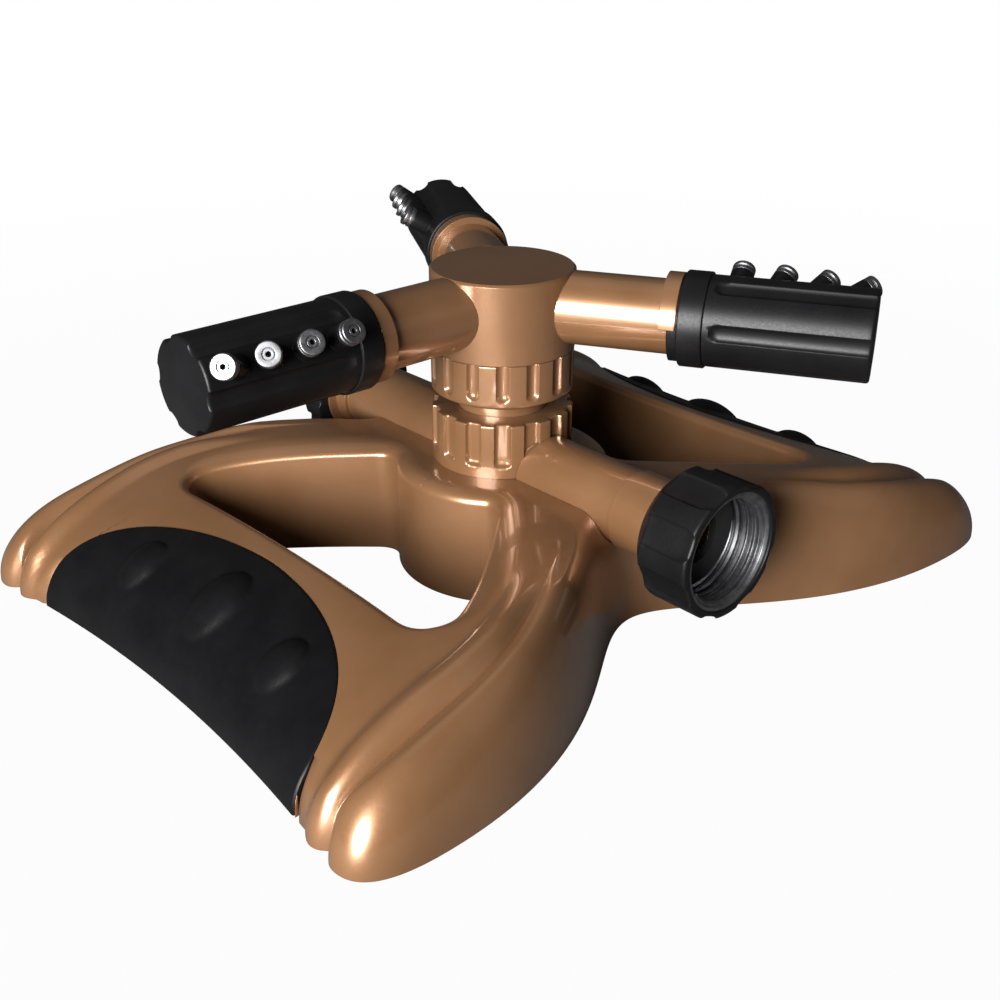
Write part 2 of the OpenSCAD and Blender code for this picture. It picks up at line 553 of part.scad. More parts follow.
// Nozzle barrel: turns on the arm's spigot, closed at its end, with a row of black stems
cavity_r = spigot_b + 1;
barrel_end = barrel_s + barrel_l;
function jet_s(k) = barrel_s + jet_first + jet_pitch * k;
module on_jet(i, k) on_arm(i, jet_s(k)) rotate(jet_row) translate([barrel_r, 0, 0])
  rotate([0, 90 - jet_tilt - jet_fan * k, 0]) children();
module barrel(i) color(black)
  difference() {
    union() {
      on_arm(i, barrel_s) cylinder(r = collar_r, h = collar_l, $fn = fine);
      on_arm(i, barrel_s) cylinder(r = barrel_r, h = barrel_l - 0.8, $fn = fine);
      on_arm(i, barrel_end - 0.8) cylinder(r1 = barrel_r, r2 = barrel_r - 0.8, h = 0.8, $fn = fine);
      on_arm(i, barrel_s - 2.4) rotate(181) arc_ring(barrel_r - 0.3, arm_r + loose_gap, 3, tab_arc);
      for (k = [0 : jets - 1]) on_jet(i, k) translate([0, 0, -2.6]) cylinder(r = jet_r, h = stem_h + 2.6, $fn = medium);
    }
    on_arm(i, barrel_s - 1) cylinder(r = spigot_b + run_gap, h = clip_s - barrel_s + 0.9, $fn = fine);
    on_arm(i, clip_s - 0.1) cylinder(r = cavity_r, h = barrel_end - clip_s - 2.2, $fn = fine);
    for (k = [0 : jets - 1]) on_jet(i, k) translate([0, 0, -8]) cylinder(r = shank_r, h = 20, $fn = medium);
    for (k = [0 : 5]) on_arm(i, barrel_s + collar_l + 4) rotate(60 * k - 2) translate([barrel_r + 2.1, 0, 0]) {
      sphere(r = 3.1, $fn = 32);
      cylinder(r = 3.1, h = barrel_l, $fn = medium);
    }
  }

// Metal jets pressed into the stems, four separate solids
shank_r = 1.7;
hole_r = 0.65;
module jets(i) color(steel)
  for (k = [0 : jets - 1]) on_jet(i, k) translate([0, 0, stem_h])
    difference() {
      union() {
        translate([0, 0, -stem_h]) cylinder(r = shank_r, h = stem_h + 1, $fn = medium);
        cylinder(r = jet_r, h = jet_h - 0.4, $fn = medium);
        translate([0, 0, jet_h - 0.4]) cylinder(r1 = jet_r, r2 = jet_r - 0.4, h = 0.4, $fn = medium);
      }
      translate([0, 0, -stem_h - 1]) cylinder(r = hole_r, h = stem_h + jet_h + 2, $fn = medium);
      translate([0, 0, jet_h - 0.5]) cylinder(r1 = hole_r, r2 = 1.5, h = 0.51, $fn = medium);
    }

// Brass tail: pressed into the tee, its flange holds the swivel
tail_l = 12;
tail_out = 9;
grip_lip = 2.5;
coupling_x = tube_end + 1;
insert_x = coupling_x + grip_lip;
flange_x = insert_x + 0.1;
flange_t = 1.6;
module inlet_tail() color(brass)
  difference() {
    union() {
      on_tube(tube_end - tail_l) cylinder(r = tail_r, h = tail_l + 2, $fn = fine);
      on_tube(tube_end) cylinder(r = tail_out, h = flange_x - tube_end, $fn = fine);
      on_tube(flange_x) cylinder(r = thread_r - 1.1, h = flange_t, $fn = fine);
    }
    on_tube(tube_end - tail_l - 1) cylinder(r = tube_bore, h = 40, $fn = fine);
    on_tube(tube_end - 6) tube_ring(tail_r + 2, tail_r - 1, 1.5);
  }
module inlet_seal() color(rubber) on_tube(tube_end - 5.25) o_ring(tail_r, tail_r - 1);

// Black swivel collar with eight scalloped grips
module inlet_grip() color(black)
  difference() {
    on_tube(coupling_x) union() {
      cylinder(r1 = grip_r - 2.6, r2 = grip_r, h = 2.6, $fn = fine);
      translate([0, 0, 2.6]) cylinder(r = grip_r, h = grip_l - 3.8, $fn = fine);
      translate([0, 0, grip_l - 1.2]) cylinder(r1 = grip_r, r2 = grip_r - 0.8, h = 1.2, $fn = fine);
    }
    on_tube(coupling_x - 1) cylinder(r = tail_out + run_gap, h = grip_l + 2, $fn = fine);
    on_tube(insert_x) cylinder(r = insert_r, h = grip_l, $fn = fine);
    for (k = [0 : 7]) on_tube(coupling_x + 5) rotate(45 * k + 22.5) translate([grip_r + 12.9, 0, 0]) {
      sphere(r = 14, $fn = 64);
      cylinder(r = 14, h = grip_l - 9, $fn = 64);
      translate([0, 0, grip_l - 9]) sphere(r = 14, $fn = 64);
    }
  }

// Metal insert with the hose thread, wider behind the thread where the hose washer lies
insert_l = grip_l - grip_lip - 0.4;
thread_x = insert_x + insert_l - 6.4;
relief = 0.4;
module inlet_thread() color(steel)
  difference() {
    on_tube(insert_x) cylinder(r = insert_r, h = insert_l, $fn = fine);
    on_tube(insert_x - 1) cylinder(r = thread_r + relief, h = thread_x - insert_x + 1, $fn = fine);
    on_tube(insert_x) cylinder(r = thread_r, h = grip_l, $fn = fine);
    on_tube(insert_x + insert_l - 0.6) cylinder(r1 = thread_r, r2 = thread_r + 0.61, h = 0.61, $fn = fine);
  }
module hose_washer() color(rubber) on_tube(flange_x + flange_t) tube_ring(thread_r - 0.3, tube_bore, 2);

// End cap on the threaded outlet, with its sealing disc
cap_x = -tube_end - 0.5;
disc_t = 1.2;
module end_cap() color(black)
  difference() {
    on_tube(cap_x - cap_l) union() {
      cylinder(r1 = cap_r - 1.2, r2 = cap_r, h = 1.2, $fn = fine);
      translate([0, 0, 1.2]) cylinder(r = cap_r, h = cap_l - 1.8, $fn = fine);
      translate([0, 0, cap_l - 0.6]) cylinder(r1 = cap_r, r2 = cap_r - 0.6, h = 0.6, $fn = fine);
    }
    on_tube(outlet_x - disc_t - 0.05) cylinder(r = outlet_r + run_gap, h = 30, $fn = fine);
    for (k = [0 : 15]) on_tube(cap_x - cap_l - 1) rotate(22.5 * k) translate([cap_r + 0.9, 0, 0]) cylinder(r = 1.7, h = cap_l + 2, $fn = 24);
  }
module cap_washer() color(rubber) on_tube(outlet_x - disc_t) cylinder(r = outlet_r - 0.5, h = disc_t, $fn = fine);

base_shell();
grip_pad_front();
grip_pad_rear();
tee_body();
tee_screws();
riser_collar();
neck_stem();
neck_seal();
lower_washer();
upper_washer();
union_nut();
hub();
for (i = [1 : arms]) {
  arm_tube(i);
  barrel_seal(i);
  barrel_clip(i);
  barrel(i);
  jets(i);
}
inlet_tail();
inlet_seal();
inlet_grip();
inlet_thread();
hose_washer();
end_cap();
cap_washer();
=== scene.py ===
import bpy
import bmesh
import json
import math
from mathutils import Matrix, Vector


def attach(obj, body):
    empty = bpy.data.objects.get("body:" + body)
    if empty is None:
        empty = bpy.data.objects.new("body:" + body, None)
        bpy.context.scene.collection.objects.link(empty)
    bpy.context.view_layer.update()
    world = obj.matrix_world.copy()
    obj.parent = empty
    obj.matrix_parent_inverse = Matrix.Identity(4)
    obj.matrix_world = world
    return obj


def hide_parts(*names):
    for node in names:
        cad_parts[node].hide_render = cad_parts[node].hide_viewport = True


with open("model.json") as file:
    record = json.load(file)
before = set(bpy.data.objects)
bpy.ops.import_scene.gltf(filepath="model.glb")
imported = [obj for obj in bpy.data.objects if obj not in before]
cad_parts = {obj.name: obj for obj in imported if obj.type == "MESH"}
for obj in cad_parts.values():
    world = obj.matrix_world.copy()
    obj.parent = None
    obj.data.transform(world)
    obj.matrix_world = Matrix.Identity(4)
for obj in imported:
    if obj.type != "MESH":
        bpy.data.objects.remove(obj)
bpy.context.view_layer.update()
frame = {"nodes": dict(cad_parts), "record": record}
mm = 0.001
print("frame loaded")


def hexColor(code):
    # sRGB hex to the linear colour that the shader wants
    parts = [int(code[i:i + 2], 16) / 255 for i in (1, 3, 5)]
    return [c / 12.92 if c <= 0.04045 else ((c + 0.055) / 1.055) ** 2.4 for c in parts] + [1.0]


def addNode(tree, kind, settings=None, links=None):
    # settings go to the node's own fields or its inputs, links are (input, source node, output)
    node = tree.nodes.new(kind)
    for key, value in (settings or {}).items():
        if isinstance(key, str) and hasattr(node, key):
            setattr(node, key, value)
        else:
            node.inputs[key].default_value = value
    for key, source, output in links or []:
        tree.links.new(source.outputs[output], node.inputs[key])
    return node


# Materials

def newMaterial(name, settings):
    material = bpy.data.materials.new(name)
    material.use_nodes = True
    tree = material.node_tree
    tree.nodes.clear()
    shader = addNode(tree, "ShaderNodeBsdfPrincipled", settings)
    addNode(tree, "ShaderNodeOutputMaterial", links=[("Surface", shader, 0)])
    coords = addNode(tree, "ShaderNodeTexCoord")
    return material, tree, shader, coords


def grain(tree, coords, size, detail=2.0):
    # noise whose cells are about size mm across
    return addNode(tree, "ShaderNodeTexNoise", {"Scale": 1000 / size, "Detail": detail, "Roughness": 0.5},
                   [("Vector", coords, "Object")])


def spread(tree, source, low, high):
    # a texture's middle range, stretched to run from low to high
    return addNode(tree, "ShaderNodeMapRange", {"From Min": 0.3, "From Max": 0.7, "To Min": low, "To Max": high},
                   [("Value", source, 0)])


def bumpFrom(tree, source, height, edge=0.0):
    # height in mm; edge rounds sharp corners by that many mm, which catches a thin line of light
    node = addNode(tree, "ShaderNodeBump", {"Distance": height * mm, "Strength": 1.0}, [("Height", source, 0)])
    if edge:
        rounded = addNode(tree, "ShaderNodeBevel", {"samples": 4, "Radius": edge * mm})
        tree.links.new(rounded.outputs[0], node.inputs["Normal"])
    return node


def tint(tree, source, dark, light):
    # a texture as a colour between two close ones
    ramp = addNode(tree, "ShaderNodeValToRGB", links=[(0, source, 0)])
    ramp.color_ramp.elements[0].position = 0.35
    ramp.color_ramp.elements[1].position = 0.65
    ramp.color_ramp.elements[0].color = hexColor(dark)
    ramp.color_ramp.elements[1].color = hexColor(light)
    return ramp


def dress(tree, shader, color, rough, bump):
    for source, socket in ((color, "Base Color"), (rough, "Roughness"), (bump, "Normal")):
        tree.links.new(source.outputs[0], shader.inputs[socket])


lacquer = {"dark": "#7a5739", "light": "#835f42", "metallic": 0.5, "ior": 1.5, "rough": (0.28, 0.36), "coat": 0.75,
           "coatRough": 0.07, "flakeMm": 0.3, "flakeHighMm": 0.002, "cloudMm": 22, "edgeMm": 0.35}


def bronzeLacquer():
    # metallic bronze lacquer sprayed over moulded ABS: warm brown body, a fine flake and a clear glossy top
    material, tree, shader, coords = newMaterial("bronzeLacquer", {
        "Metallic": lacquer["metallic"], "IOR": lacquer["ior"], "Coat Weight": lacquer["coat"],
        "Coat Roughness": lacquer["coatRough"]})
    flake = grain(tree, coords, lacquer["flakeMm"], 1.0)
    color = tint(tree, grain(tree, coords, lacquer["cloudMm"], 3.0), lacquer["dark"], lacquer["light"])
    bump = bumpFrom(tree, flake, lacquer["flakeHighMm"], lacquer["edgeMm"])
    dress(tree, shader, color, spread(tree, flake, *lacquer["rough"]), bump)
    return material


satinAbs = {"dark": "#0b0b0c", "light": "#101011", "ior": 1.53, "shine": 0.17, "rough": (0.34, 0.44), "grainMm": 0.5,
            "grainHighMm": 0.008, "cloudMm": 14, "edgeMm": 0.3}


def blackPlastic():
    # injection-moulded ABS, satin: a very fine spark-eroded grain breaks up the shine
    material, tree, shader, coords = newMaterial("satinBlackAbs", {
        "IOR": satinAbs["ior"], "Specular IOR Level": satinAbs["shine"]})
    fine = grain(tree, coords, satinAbs["grainMm"])
    color = tint(tree, grain(tree, coords, satinAbs["cloudMm"]), satinAbs["dark"], satinAbs["light"])
    bump = bumpFrom(tree, fine, satinAbs["grainHighMm"], satinAbs["edgeMm"])
    dress(tree, shader, color, spread(tree, fine, *satinAbs["rough"]), bump)
    return material


padRubber = {"dark": "#09090a", "light": "#0c0c0d", "ior": 1.5, "shine": 0.12, "rough": (0.36, 0.44), "cellMm": 0.8,
             "cellHighMm": 0.012, "patchMm": 3, "cloudMm": 10}


def softPad():
    # over-moulded thermoplastic rubber: matt, with a fine leather-like grain
    material, tree, shader, coords = newMaterial("softTouchRubber", {
        "IOR": padRubber["ior"], "Specular IOR Level": padRubber["shine"]})
    cells = addNode(tree, "ShaderNodeTexVoronoi", {"Scale": 1000 / padRubber["cellMm"]},
                    [("Vector", coords, "Object")])
    color = tint(tree, grain(tree, coords, padRubber["cloudMm"]), padRubber["dark"], padRubber["light"])
    rough = spread(tree, grain(tree, coords, padRubber["patchMm"]), *padRubber["rough"])
    dress(tree, shader, color, rough, bumpFrom(tree, cells, padRubber["cellHighMm"]))
    return material


nitrile = {"dark": "#1a1a1a", "light": "#232323", "ior": 1.5, "rough": (0.6, 0.75), "grainMm": 0.6,
           "grainHighMm": 0.01}


def sealRubber():
    # nitrile rubber of washers and O-rings, dull black
    material, tree, shader, coords = newMaterial("nitrileRubber", {"IOR": nitrile["ior"]})
    fine = grain(tree, coords, nitrile["grainMm"])
    color = tint(tree, fine, nitrile["dark"], nitrile["light"])
    dress(tree, shader, color, spread(tree, fine, *nitrile["rough"]), bumpFrom(tree, fine, nitrile["grainHighMm"]))
    return material


turned = {"markMm": 0.4, "markHighMm": 0.006, "patchMm": 2.5, "edgeMm": 0.15}


def turnedMetal(name, dark, light, rough):
    # turned on a lathe: fine tool marks vary the shine
    material, tree, shader, coords = newMaterial(name, {"Metallic": 1.0})
    marks = grain(tree, coords, turned["markMm"], 3.0)
    color = tint(tree, grain(tree, coords, turned["patchMm"]), dark, light)
    bump = bumpFrom(tree, marks, turned["markHighMm"], turned["edgeMm"])
    dress(tree, shader, color, spread(tree, marks, *rough), bump)
    return material


finishes = {"bronze": bronzeLacquer(), "black": blackPlastic(), "pad": softPad(), "rubber": sealRubber(),
            "steel": turnedMetal("turnedAluminium", "#6c6c6e", "#838385", (0.36, 0.48)),
            "brass": turnedMetal("turnedBrass", "#b58f4a", "#caa45c", (0.24, 0.34))}
print("materials made")


# Helpers for meshes, all sizes in mm

def newPiece(name, mesh, finish, body, replaced):
    # a finished piece rides on its body and stands in for the CAD node that it refines
    piece = bpy.data.objects.new(name, mesh)
    bpy.context.collection.objects.link(piece)
    mesh.materials.clear()
    mesh.materials.append(finishes[finish])
    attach(piece, body)
    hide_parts(*replaced)
    return piece


def meshFrom(name, points, faces):
    mesh = bpy.data.meshes.new(name)
    mesh.from_pydata([Vector(p) * mm for p in points], [], faces)
    mesh.update()
    return mesh


def smoothEdges(mesh, angle):
    # smooth shading, but sharp where two faces meet at more than angle degrees
    for polygon in mesh.polygons:
        polygon.use_smooth = True
    mesh.set_sharp_from_angle(angle=math.radians(angle))


def roundedLine(corners, steps=5):
    # corners are (r, h, radius of the rounding); returns the points of the rounded line
    line = []
    for i, (r, h, radius) in enumerate(corners):
        here = Vector((r, h))
        before = Vector(corners[i - 1][:2])
        after = Vector(corners[(i + 1) % len(corners)][:2])
        if radius == 0:
            line.append(here)
            continue
        a, b = (before - here).normalized(), (after - here).normalized()
        half = a.angle(b) / 2
        reach = min(radius / math.tan(half), (before - here).length * 0.49, (after - here).length * 0.49)
        start, end = here + a * reach, here + b * reach
        center = here + (a + b).normalized() * (reach / math.cos(half))
        for k in range(steps + 1):
            direction = (start - center).lerp(end - center, k / steps).normalized()
            line.append(center + direction * (start - center).length)
    return line


def merged(mesh, reach=2e-6, thin=None):
    # merges doubled points, drops faces thinner than thin, and turns the faces outward; lengths in metres
    work = bmesh.new()
    work.from_mesh(mesh)
    bmesh.ops.remove_doubles(work, verts=work.verts, dist=reach)
    if thin:
        bmesh.ops.dissolve_degenerate(work, edges=work.edges, dist=thin)
    bmesh.ops.recalc_face_normals(work, faces=work.faces)
    work.to_mesh(mesh)
    work.free()
    return mesh


def cleaned(mesh, angle, thin=None):
    smoothEdges(merged(mesh, thin=thin), angle)
    return mesh


def latheMesh(name, corners, segments):
    # a turned shape about local Z, whose section is closed; it goes through the corners
    line = roundedLine(corners)
    rows = len(line)
    points = [(p.x * math.cos(a), p.x * math.sin(a), p.y)
              for a in (2 * math.pi * k / segments for k in range(segments)) for p in line]
    faces = []
    for k in range(segments):
        n = (k + 1) % segments
        for i in range(rows):
            j = (i + 1) % rows
            faces.append((k * rows + i, n * rows + i, n * rows + j, k * rows + j))
    return merged(meshFrom(name, points, faces), 1e-6)


def joinMeshes(name, meshes):
    work = bmesh.new()
    for mesh in meshes:
        work.from_mesh(mesh)
    result = bpy.data.meshes.new(name)
    work.to_mesh(result)
    work.free()
    return result


# Geometry Nodes trees

def newTree(name, numbers):
    # a tree with named number inputs and a material input
    tree = bpy.data.node_groups.new(name, "GeometryNodeTree")
    tree.interface.new_socket("Geometry", in_out="INPUT", socket_type="NodeSocketGeometry")
    for label, value in numbers.items():
        kind = "NodeSocketInt" if isinstance(value, int) else "NodeSocketFloat"
        tree.interface.new_socket(label, in_out="INPUT", socket_type=kind).default_value = value
    tree.interface.new_socket("Finish", in_out="INPUT", socket_type="NodeSocketMaterial")
    tree.interface.new_socket("Geometry", in_out="OUTPUT", socket_type="NodeSocketGeometry")
    return tree, addNode(tree, "NodeGroupInput")


def closeTree(tree, inputs, source, output="Geometry"):
    # makes the copies real, gives them the finish and ends the tree
    real = addNode(tree, "GeometryNodeRealizeInstances", links=[("Geometry", source, output)])
    finish = addNode(tree, "GeometryNodeSetMaterial", links=[("Geometry", real, 0), ("Material", inputs, "Finish")])
    addNode(tree, "NodeGroupOutput", links=[(0, finish, 0)])
    return tree


def runTree(tree, mesh, values, finish):
    # runs a tree on a mesh and returns the result as a plain mesh
    holder = bpy.data.objects.new(mesh.name + "Work", mesh)
    bpy.context.collection.objects.link(holder)
    modifier = holder.modifiers.new("build", "NODES")
    modifier.node_group = tree
    for item in tree.interface.items_tree:
        if item.in_out == "INPUT" and item.name in values:
            modifier[item.identifier] = values[item.name]
        elif item.in_out == "INPUT" and item.name == "Finish":
            modifier[item.identifier] = finishes[finish]
    graph = bpy.context.evaluated_depsgraph_get()
    graph.update()
    result = bpy.data.meshes.new_from_object(holder.evaluated_get(graph), depsgraph=graph)
    bpy.data.objects.remove(holder)
    return result


calc = "ShaderNodeMath"


def fluteTree():
    # presses Count round-bottomed flutes into a turned shape, between the heights Low and High
    tree, inputs = newTree("flutes", {
        "Count": 15, "Turn": 0.0, "Width": 3.3 * mm, "Depth": 1.4 * mm, "Low": 0.0, "High": 1.0, "Fade": 1.0 * mm,
        "Radius": 18.9 * mm, "Skin": 2.0 * mm, "Power": 2.0})
    place = addNode(tree, "GeometryNodeInputPosition")
    axes = addNode(tree, "ShaderNodeSeparateXYZ", links=[(0, place, 0)])
    squares = [addNode(tree, calc, {"operation": "MULTIPLY"}, [(0, axes, i), (1, axes, i)]) for i in (0, 1)]
    square = addNode(tree, calc, {"operation": "ADD"}, [(0, squares[0], 0), (1, squares[1], 0)])
    radius = addNode(tree, calc, {"operation": "SQRT"}, [(0, square, 0)])

    # distance along the wall from the nearest flute's middle, in half widths
    angle = addNode(tree, calc, {"operation": "ARCTAN2"}, [(0, axes, 1), (1, axes, 0)])
    turned = addNode(tree, calc, {"operation": "SUBTRACT"}, [(0, angle, 0), (1, inputs, "Turn")])
    share = addNode(tree, calc, {"operation": "DIVIDE", 1: 2 * math.pi}, [(0, turned, 0)])
    number = addNode(tree, calc, {"operation": "MULTIPLY"}, [(0, share, 0), (1, inputs, "Count")])
    positive = addNode(tree, calc, {"operation": "ADD", 1: 100.5}, [(0, number, 0)])
    part = addNode(tree, calc, {"operation": "FRACT"}, [(0, positive, 0)])
    offset = addNode(tree, calc, {"operation": "SUBTRACT", 1: 0.5}, [(0, part, 0)])
    reach = addNode(tree, calc, {"operation": "MULTIPLY"}, [(0, offset, 0), (1, inputs, "Radius")])
    arc = addNode(tree, calc, {"operation": "MULTIPLY", 1: 4 * math.pi}, [(0, reach, 0)])
    widths = addNode(tree, calc, {"operation": "MULTIPLY"}, [(0, inputs, "Count"), (1, inputs, "Width")])
    across = addNode(tree, calc, {"operation": "DIVIDE"}, [(0, arc, 0), (1, widths, 0)])

    # toward the end of the flute the section narrows, which rounds its end
    below = addNode(tree, calc, {"operation": "SUBTRACT"}, [(0, inputs, "Low"), (1, axes, 2)])
    above = addNode(tree, calc, {"operation": "SUBTRACT"}, [(0, axes, 2), (1, inputs, "High")])
    low, high = (addNode(tree, calc, {"operation": "DIVIDE"}, [(0, gap, 0), (1, inputs, "Fade")])
                 for gap in (below, above))
    further = addNode(tree, calc, {"operation": "MAXIMUM"}, [(0, low, 0), (1, high, 0)])
    beyond = addNode(tree, calc, {"operation": "MAXIMUM", 1: 0.0}, [(0, further, 0)])
    either = addNode(tree, calc, {"operation": "ABSOLUTE"}, [(0, across, 0)])
    wide = addNode(tree, calc, {"operation": "POWER"}, [(0, either, 0), (1, inputs, "Power")])
    long = addNode(tree, calc, {"operation": "POWER", 1: 2.0}, [(0, beyond, 0)])
    filled = addNode(tree, calc, {"operation": "ADD"}, [(0, wide, 0), (1, long, 0)])
    left = addNode(tree, calc, {"operation": "SUBTRACT", 0: 1.0}, [(1, filled, 0)])
    inside = addNode(tree, calc, {"operation": "MAXIMUM", 1: 0.0}, [(0, left, 0)])
    hollow = addNode(tree, calc, {"operation": "SQRT"}, [(0, inside, 0)])

    # only the outer skin moves, toward the axis
    inner = addNode(tree, calc, {"operation": "SUBTRACT"}, [(0, inputs, "Radius"), (1, inputs, "Skin")])
    skin = addNode(tree, "ShaderNodeMapRange", {"interpolation_type": "SMOOTHSTEP"},
                   [("Value", radius, 0), ("From Min", inner, 0), ("From Max", inputs, "Radius")])
    deep = addNode(tree, calc, {"operation": "MULTIPLY"}, [(0, hollow, 0), (1, inputs, "Depth")])
    amount = addNode(tree, calc, {"operation": "MULTIPLY"}, [(0, deep, 0), (1, skin, 0)])
    divisor = addNode(tree, calc, {"operation": "MAXIMUM", 1: 1e-6}, [(0, radius, 0)])
    ratio = addNode(tree, calc, {"operation": "DIVIDE"}, [(0, amount, 0), (1, divisor, 0)])
    inward = addNode(tree, calc, {"operation": "MULTIPLY", 1: -1.0}, [(0, ratio, 0)])
    parts = [addNode(tree, calc, {"operation": "MULTIPLY"}, [(0, axes, i), (1, inward, 0)]) for i in (0, 1)]
    shift = addNode(tree, "ShaderNodeCombineXYZ", links=[("X", parts[0], 0), ("Y", parts[1], 0)])
    moved = addNode(tree, "GeometryNodeSetPosition", links=[("Geometry", inputs, "Geometry"), ("Offset", shift, 0)])
    return closeTree(tree, inputs, moved)


def rowTree():
    # stands Count copies of a shape in a row along X, each leaning Fan further than the one before
    tree, inputs = newTree("leaningRow", {
        "Count": 4, "First": 0.0, "Pitch": 9.2 * mm, "Tilt": 0.05, "Fan": 0.24, "Height": 11.4 * mm})
    start = addNode(tree, "ShaderNodeCombineXYZ", links=[("X", inputs, "First"), ("Z", inputs, "Height")])
    step = addNode(tree, "ShaderNodeCombineXYZ", links=[("X", inputs, "Pitch")])
    line = addNode(tree, "GeometryNodeMeshLine",
                   links=[("Count", inputs, "Count"), ("Start Location", start, 0), ("Offset", step, 0)])
    index = addNode(tree, "GeometryNodeInputIndex")
    lean = addNode(tree, calc, {"operation": "MULTIPLY_ADD"},
                   [(0, index, 0), (1, inputs, "Fan"), (2, inputs, "Tilt")])
    turn = addNode(tree, "ShaderNodeCombineXYZ", links=[("Y", lean, 0)])
    copies = addNode(tree, "GeometryNodeInstanceOnPoints",
                     links=[("Points", line, 0), ("Instance", inputs, "Geometry"), ("Rotation", turn, 0)])
    return closeTree(tree, inputs, copies, "Instances")


def threadTree():
    # a helical ridge inside a bore
    tree, inputs = newTree("helicalRidge", {"Turns": 3.0, "Radius": 13.5 * mm, "Pitch": 2.2 * mm, "Ridge": 0.9 * mm})
    height = addNode(tree, calc, {"operation": "MULTIPLY"}, [(0, inputs, "Turns"), (1, inputs, "Pitch")])
    coil = addNode(tree, "GeometryNodeCurveSpiral", {"Resolution": 96},
                   [("Rotations", inputs, "Turns"), ("Start Radius", inputs, "Radius"),
                    ("End Radius", inputs, "Radius"), ("Height", height, 0)])
    shape = addNode(tree, "GeometryNodeCurvePrimitiveCircle", {"Resolution": 6}, [("Radius", inputs, "Ridge")])
    ridge = addNode(tree, "GeometryNodeCurveToMesh", {"Fill Caps": True},
                    [("Curve", coil, 0), ("Profile Curve", shape, 0)])
    return closeTree(tree, inputs, ridge, "Mesh")


flutes, leaningRow, helicalRidge = fluteTree(), rowTree(), threadTree()
print("trees made")

# Main heights and distances, the same as in the CAD model
tubeZ, ringTop, lipZ, nutTop = 31.2, 45.9, 49.5, 62.1
armZ, barrelS = 73.8, 47.6
firstArm, armStep = 30, 120
zAlongX = Matrix(((0, 0, 1, 0), (1, 0, 0, 0), (0, 1, 0, 0), (0, 0, 0, 1)))


def alongX(x):
    # local Z laid along +X on the tube's axis
    return Matrix.Translation(Vector((x, 0, tubeZ)) * mm) @ zAlongX


def onArm(number, s):
    # local Z laid along the arm, with local X to the arm's counterclockwise side
    turn = Matrix.Rotation(math.radians(firstArm + armStep * (number - 1)), 4, "Z")
    return turn @ Matrix.Translation(Vector((s, 0, armZ)) * mm) @ zAlongX


# Base: one quarter of it is worked out with x and y positive, then mirrored. The quarter is a grid of columns,
# colsA beside the tube, colsB along the leg and colsC along the wing's outer end. In all of its functions
# k is a column's number, and w is how far inside the outer skin a line lies

base = {"length": 226, "width": 172.6, "waist": 99, "top": 31.2, "wall": 3.0, "bossRadius": 29, "power": 2.1,
        "edgeIn": 7.5, "edgeBow": 6, "panel": 36.7, "leg": 34, "bulb": 2.2, "innerDrop": 2, "angle": 42,
        "beadHeight": 1.4, "beadWidth": 8, "beadIn": 0.8, "grooveDepth": 1.8, "grooveFall": 1.1, "grooveReach": 68,
        "grooveBend": 1.4, "fadeFrom": 38, "fadeTo": 62, "fadeEdge": 4,
        "rim": 3.2, "rimStart": 4.5, "rimWide": 8, "rimEnd": 3, "rimReach": 16}
pad = {"half": 57.3, "reach": 32.2, "deep": 1.5, "proud": 0.4, "clear": 0.25, "gap": 0.12, "roundOff": 0.8,
       "cols": 190, "rows": 95, "bump": 2.9, "pitch": 31, "middleBump": (17, 7.4, 9.2), "outerBump": (14.2, 5.8, 6.6),
       "outerShare": 0.8, "angle": 50}
halfW, halfL, halfWaist = base["width"] / 2, base["length"] / 2, base["waist"] / 2
colsA, colsB, colsC = 12, 156, 60
legCols, allCols = colsA + colsB, colsA + colsB + colsC
legRows, innerLegRows = 64, 8
padRows, midRows, rimRows = 16, 14, 12
troughR = 9.935
edgeMid = halfL - base["edgeIn"]
toeX, tipX, tipY = halfW - 15.4, halfW - 10.3, halfL - 20
openY, openX = edgeMid - base["panel"], halfW - base["leg"]
crestX, flatY = halfWaist - 9.5, 20
bossEnd = math.radians(52)
padY = halfL - 5

# shares of the grid's leg columns, and of the leg's outer side
onAxis, onBoss, onNook, onStraight, onLeg = 3 / 26, 0.3, 0.42, 0.5, 0.76
spacing = [(0, 0), (onAxis, 0.02), (onBoss, 0.1), (onNook, 0.18), (onLeg, 0.76), (1, 1)]
sideStart, flankEnd, tipEnd, sideEase = 0.176, 0.72, 0.9, 0.9
cornerShare, edgeShare = 0.65, 0.25
cornerSteps = [0, 0.5, 1, 1.7, 2.4, 3.2, 4, 5, 6, 7.4, 8.8, 11.5, 14.2]
padFirst = len(cornerSteps)
firstOpen = colsA + round(colsB * onAxis)


def mix(a, b, t):
    return a + (b - a) * t


def clamp(v):
    return min(1.0, max(0.0, v))


def smoothStep(a, b, v):
    t = clamp((v - a) / (b - a))
    return t * t * (3 - 2 * t)


def quarterTurn(share):
    return math.pi / 2 * share


def cubic(p, t):
    w = ((1 - t) ** 3, 3 * t * (1 - t) ** 2, 3 * t * t * (1 - t), t ** 3)
    return tuple(sum(w[i] * p[i][k] for i in range(4)) for k in (0, 1))


def rib(s):
    # a round bead with a groove before it; s is the distance behind the groove's line
    bead = base["beadHeight"] * math.sin(math.pi * clamp((s - base["beadIn"]) / base["beadWidth"]))
    return bead - base["grooveDepth"] * math.exp(-max(s, -1) / base["grooveFall"])


def edgeLine(x, w):
    # the wing's outer end
    return edgeMid + base["edgeBow"] * (x / toeX) ** 2 - w + (0 if w > 0 else rib(toeX - abs(x)))


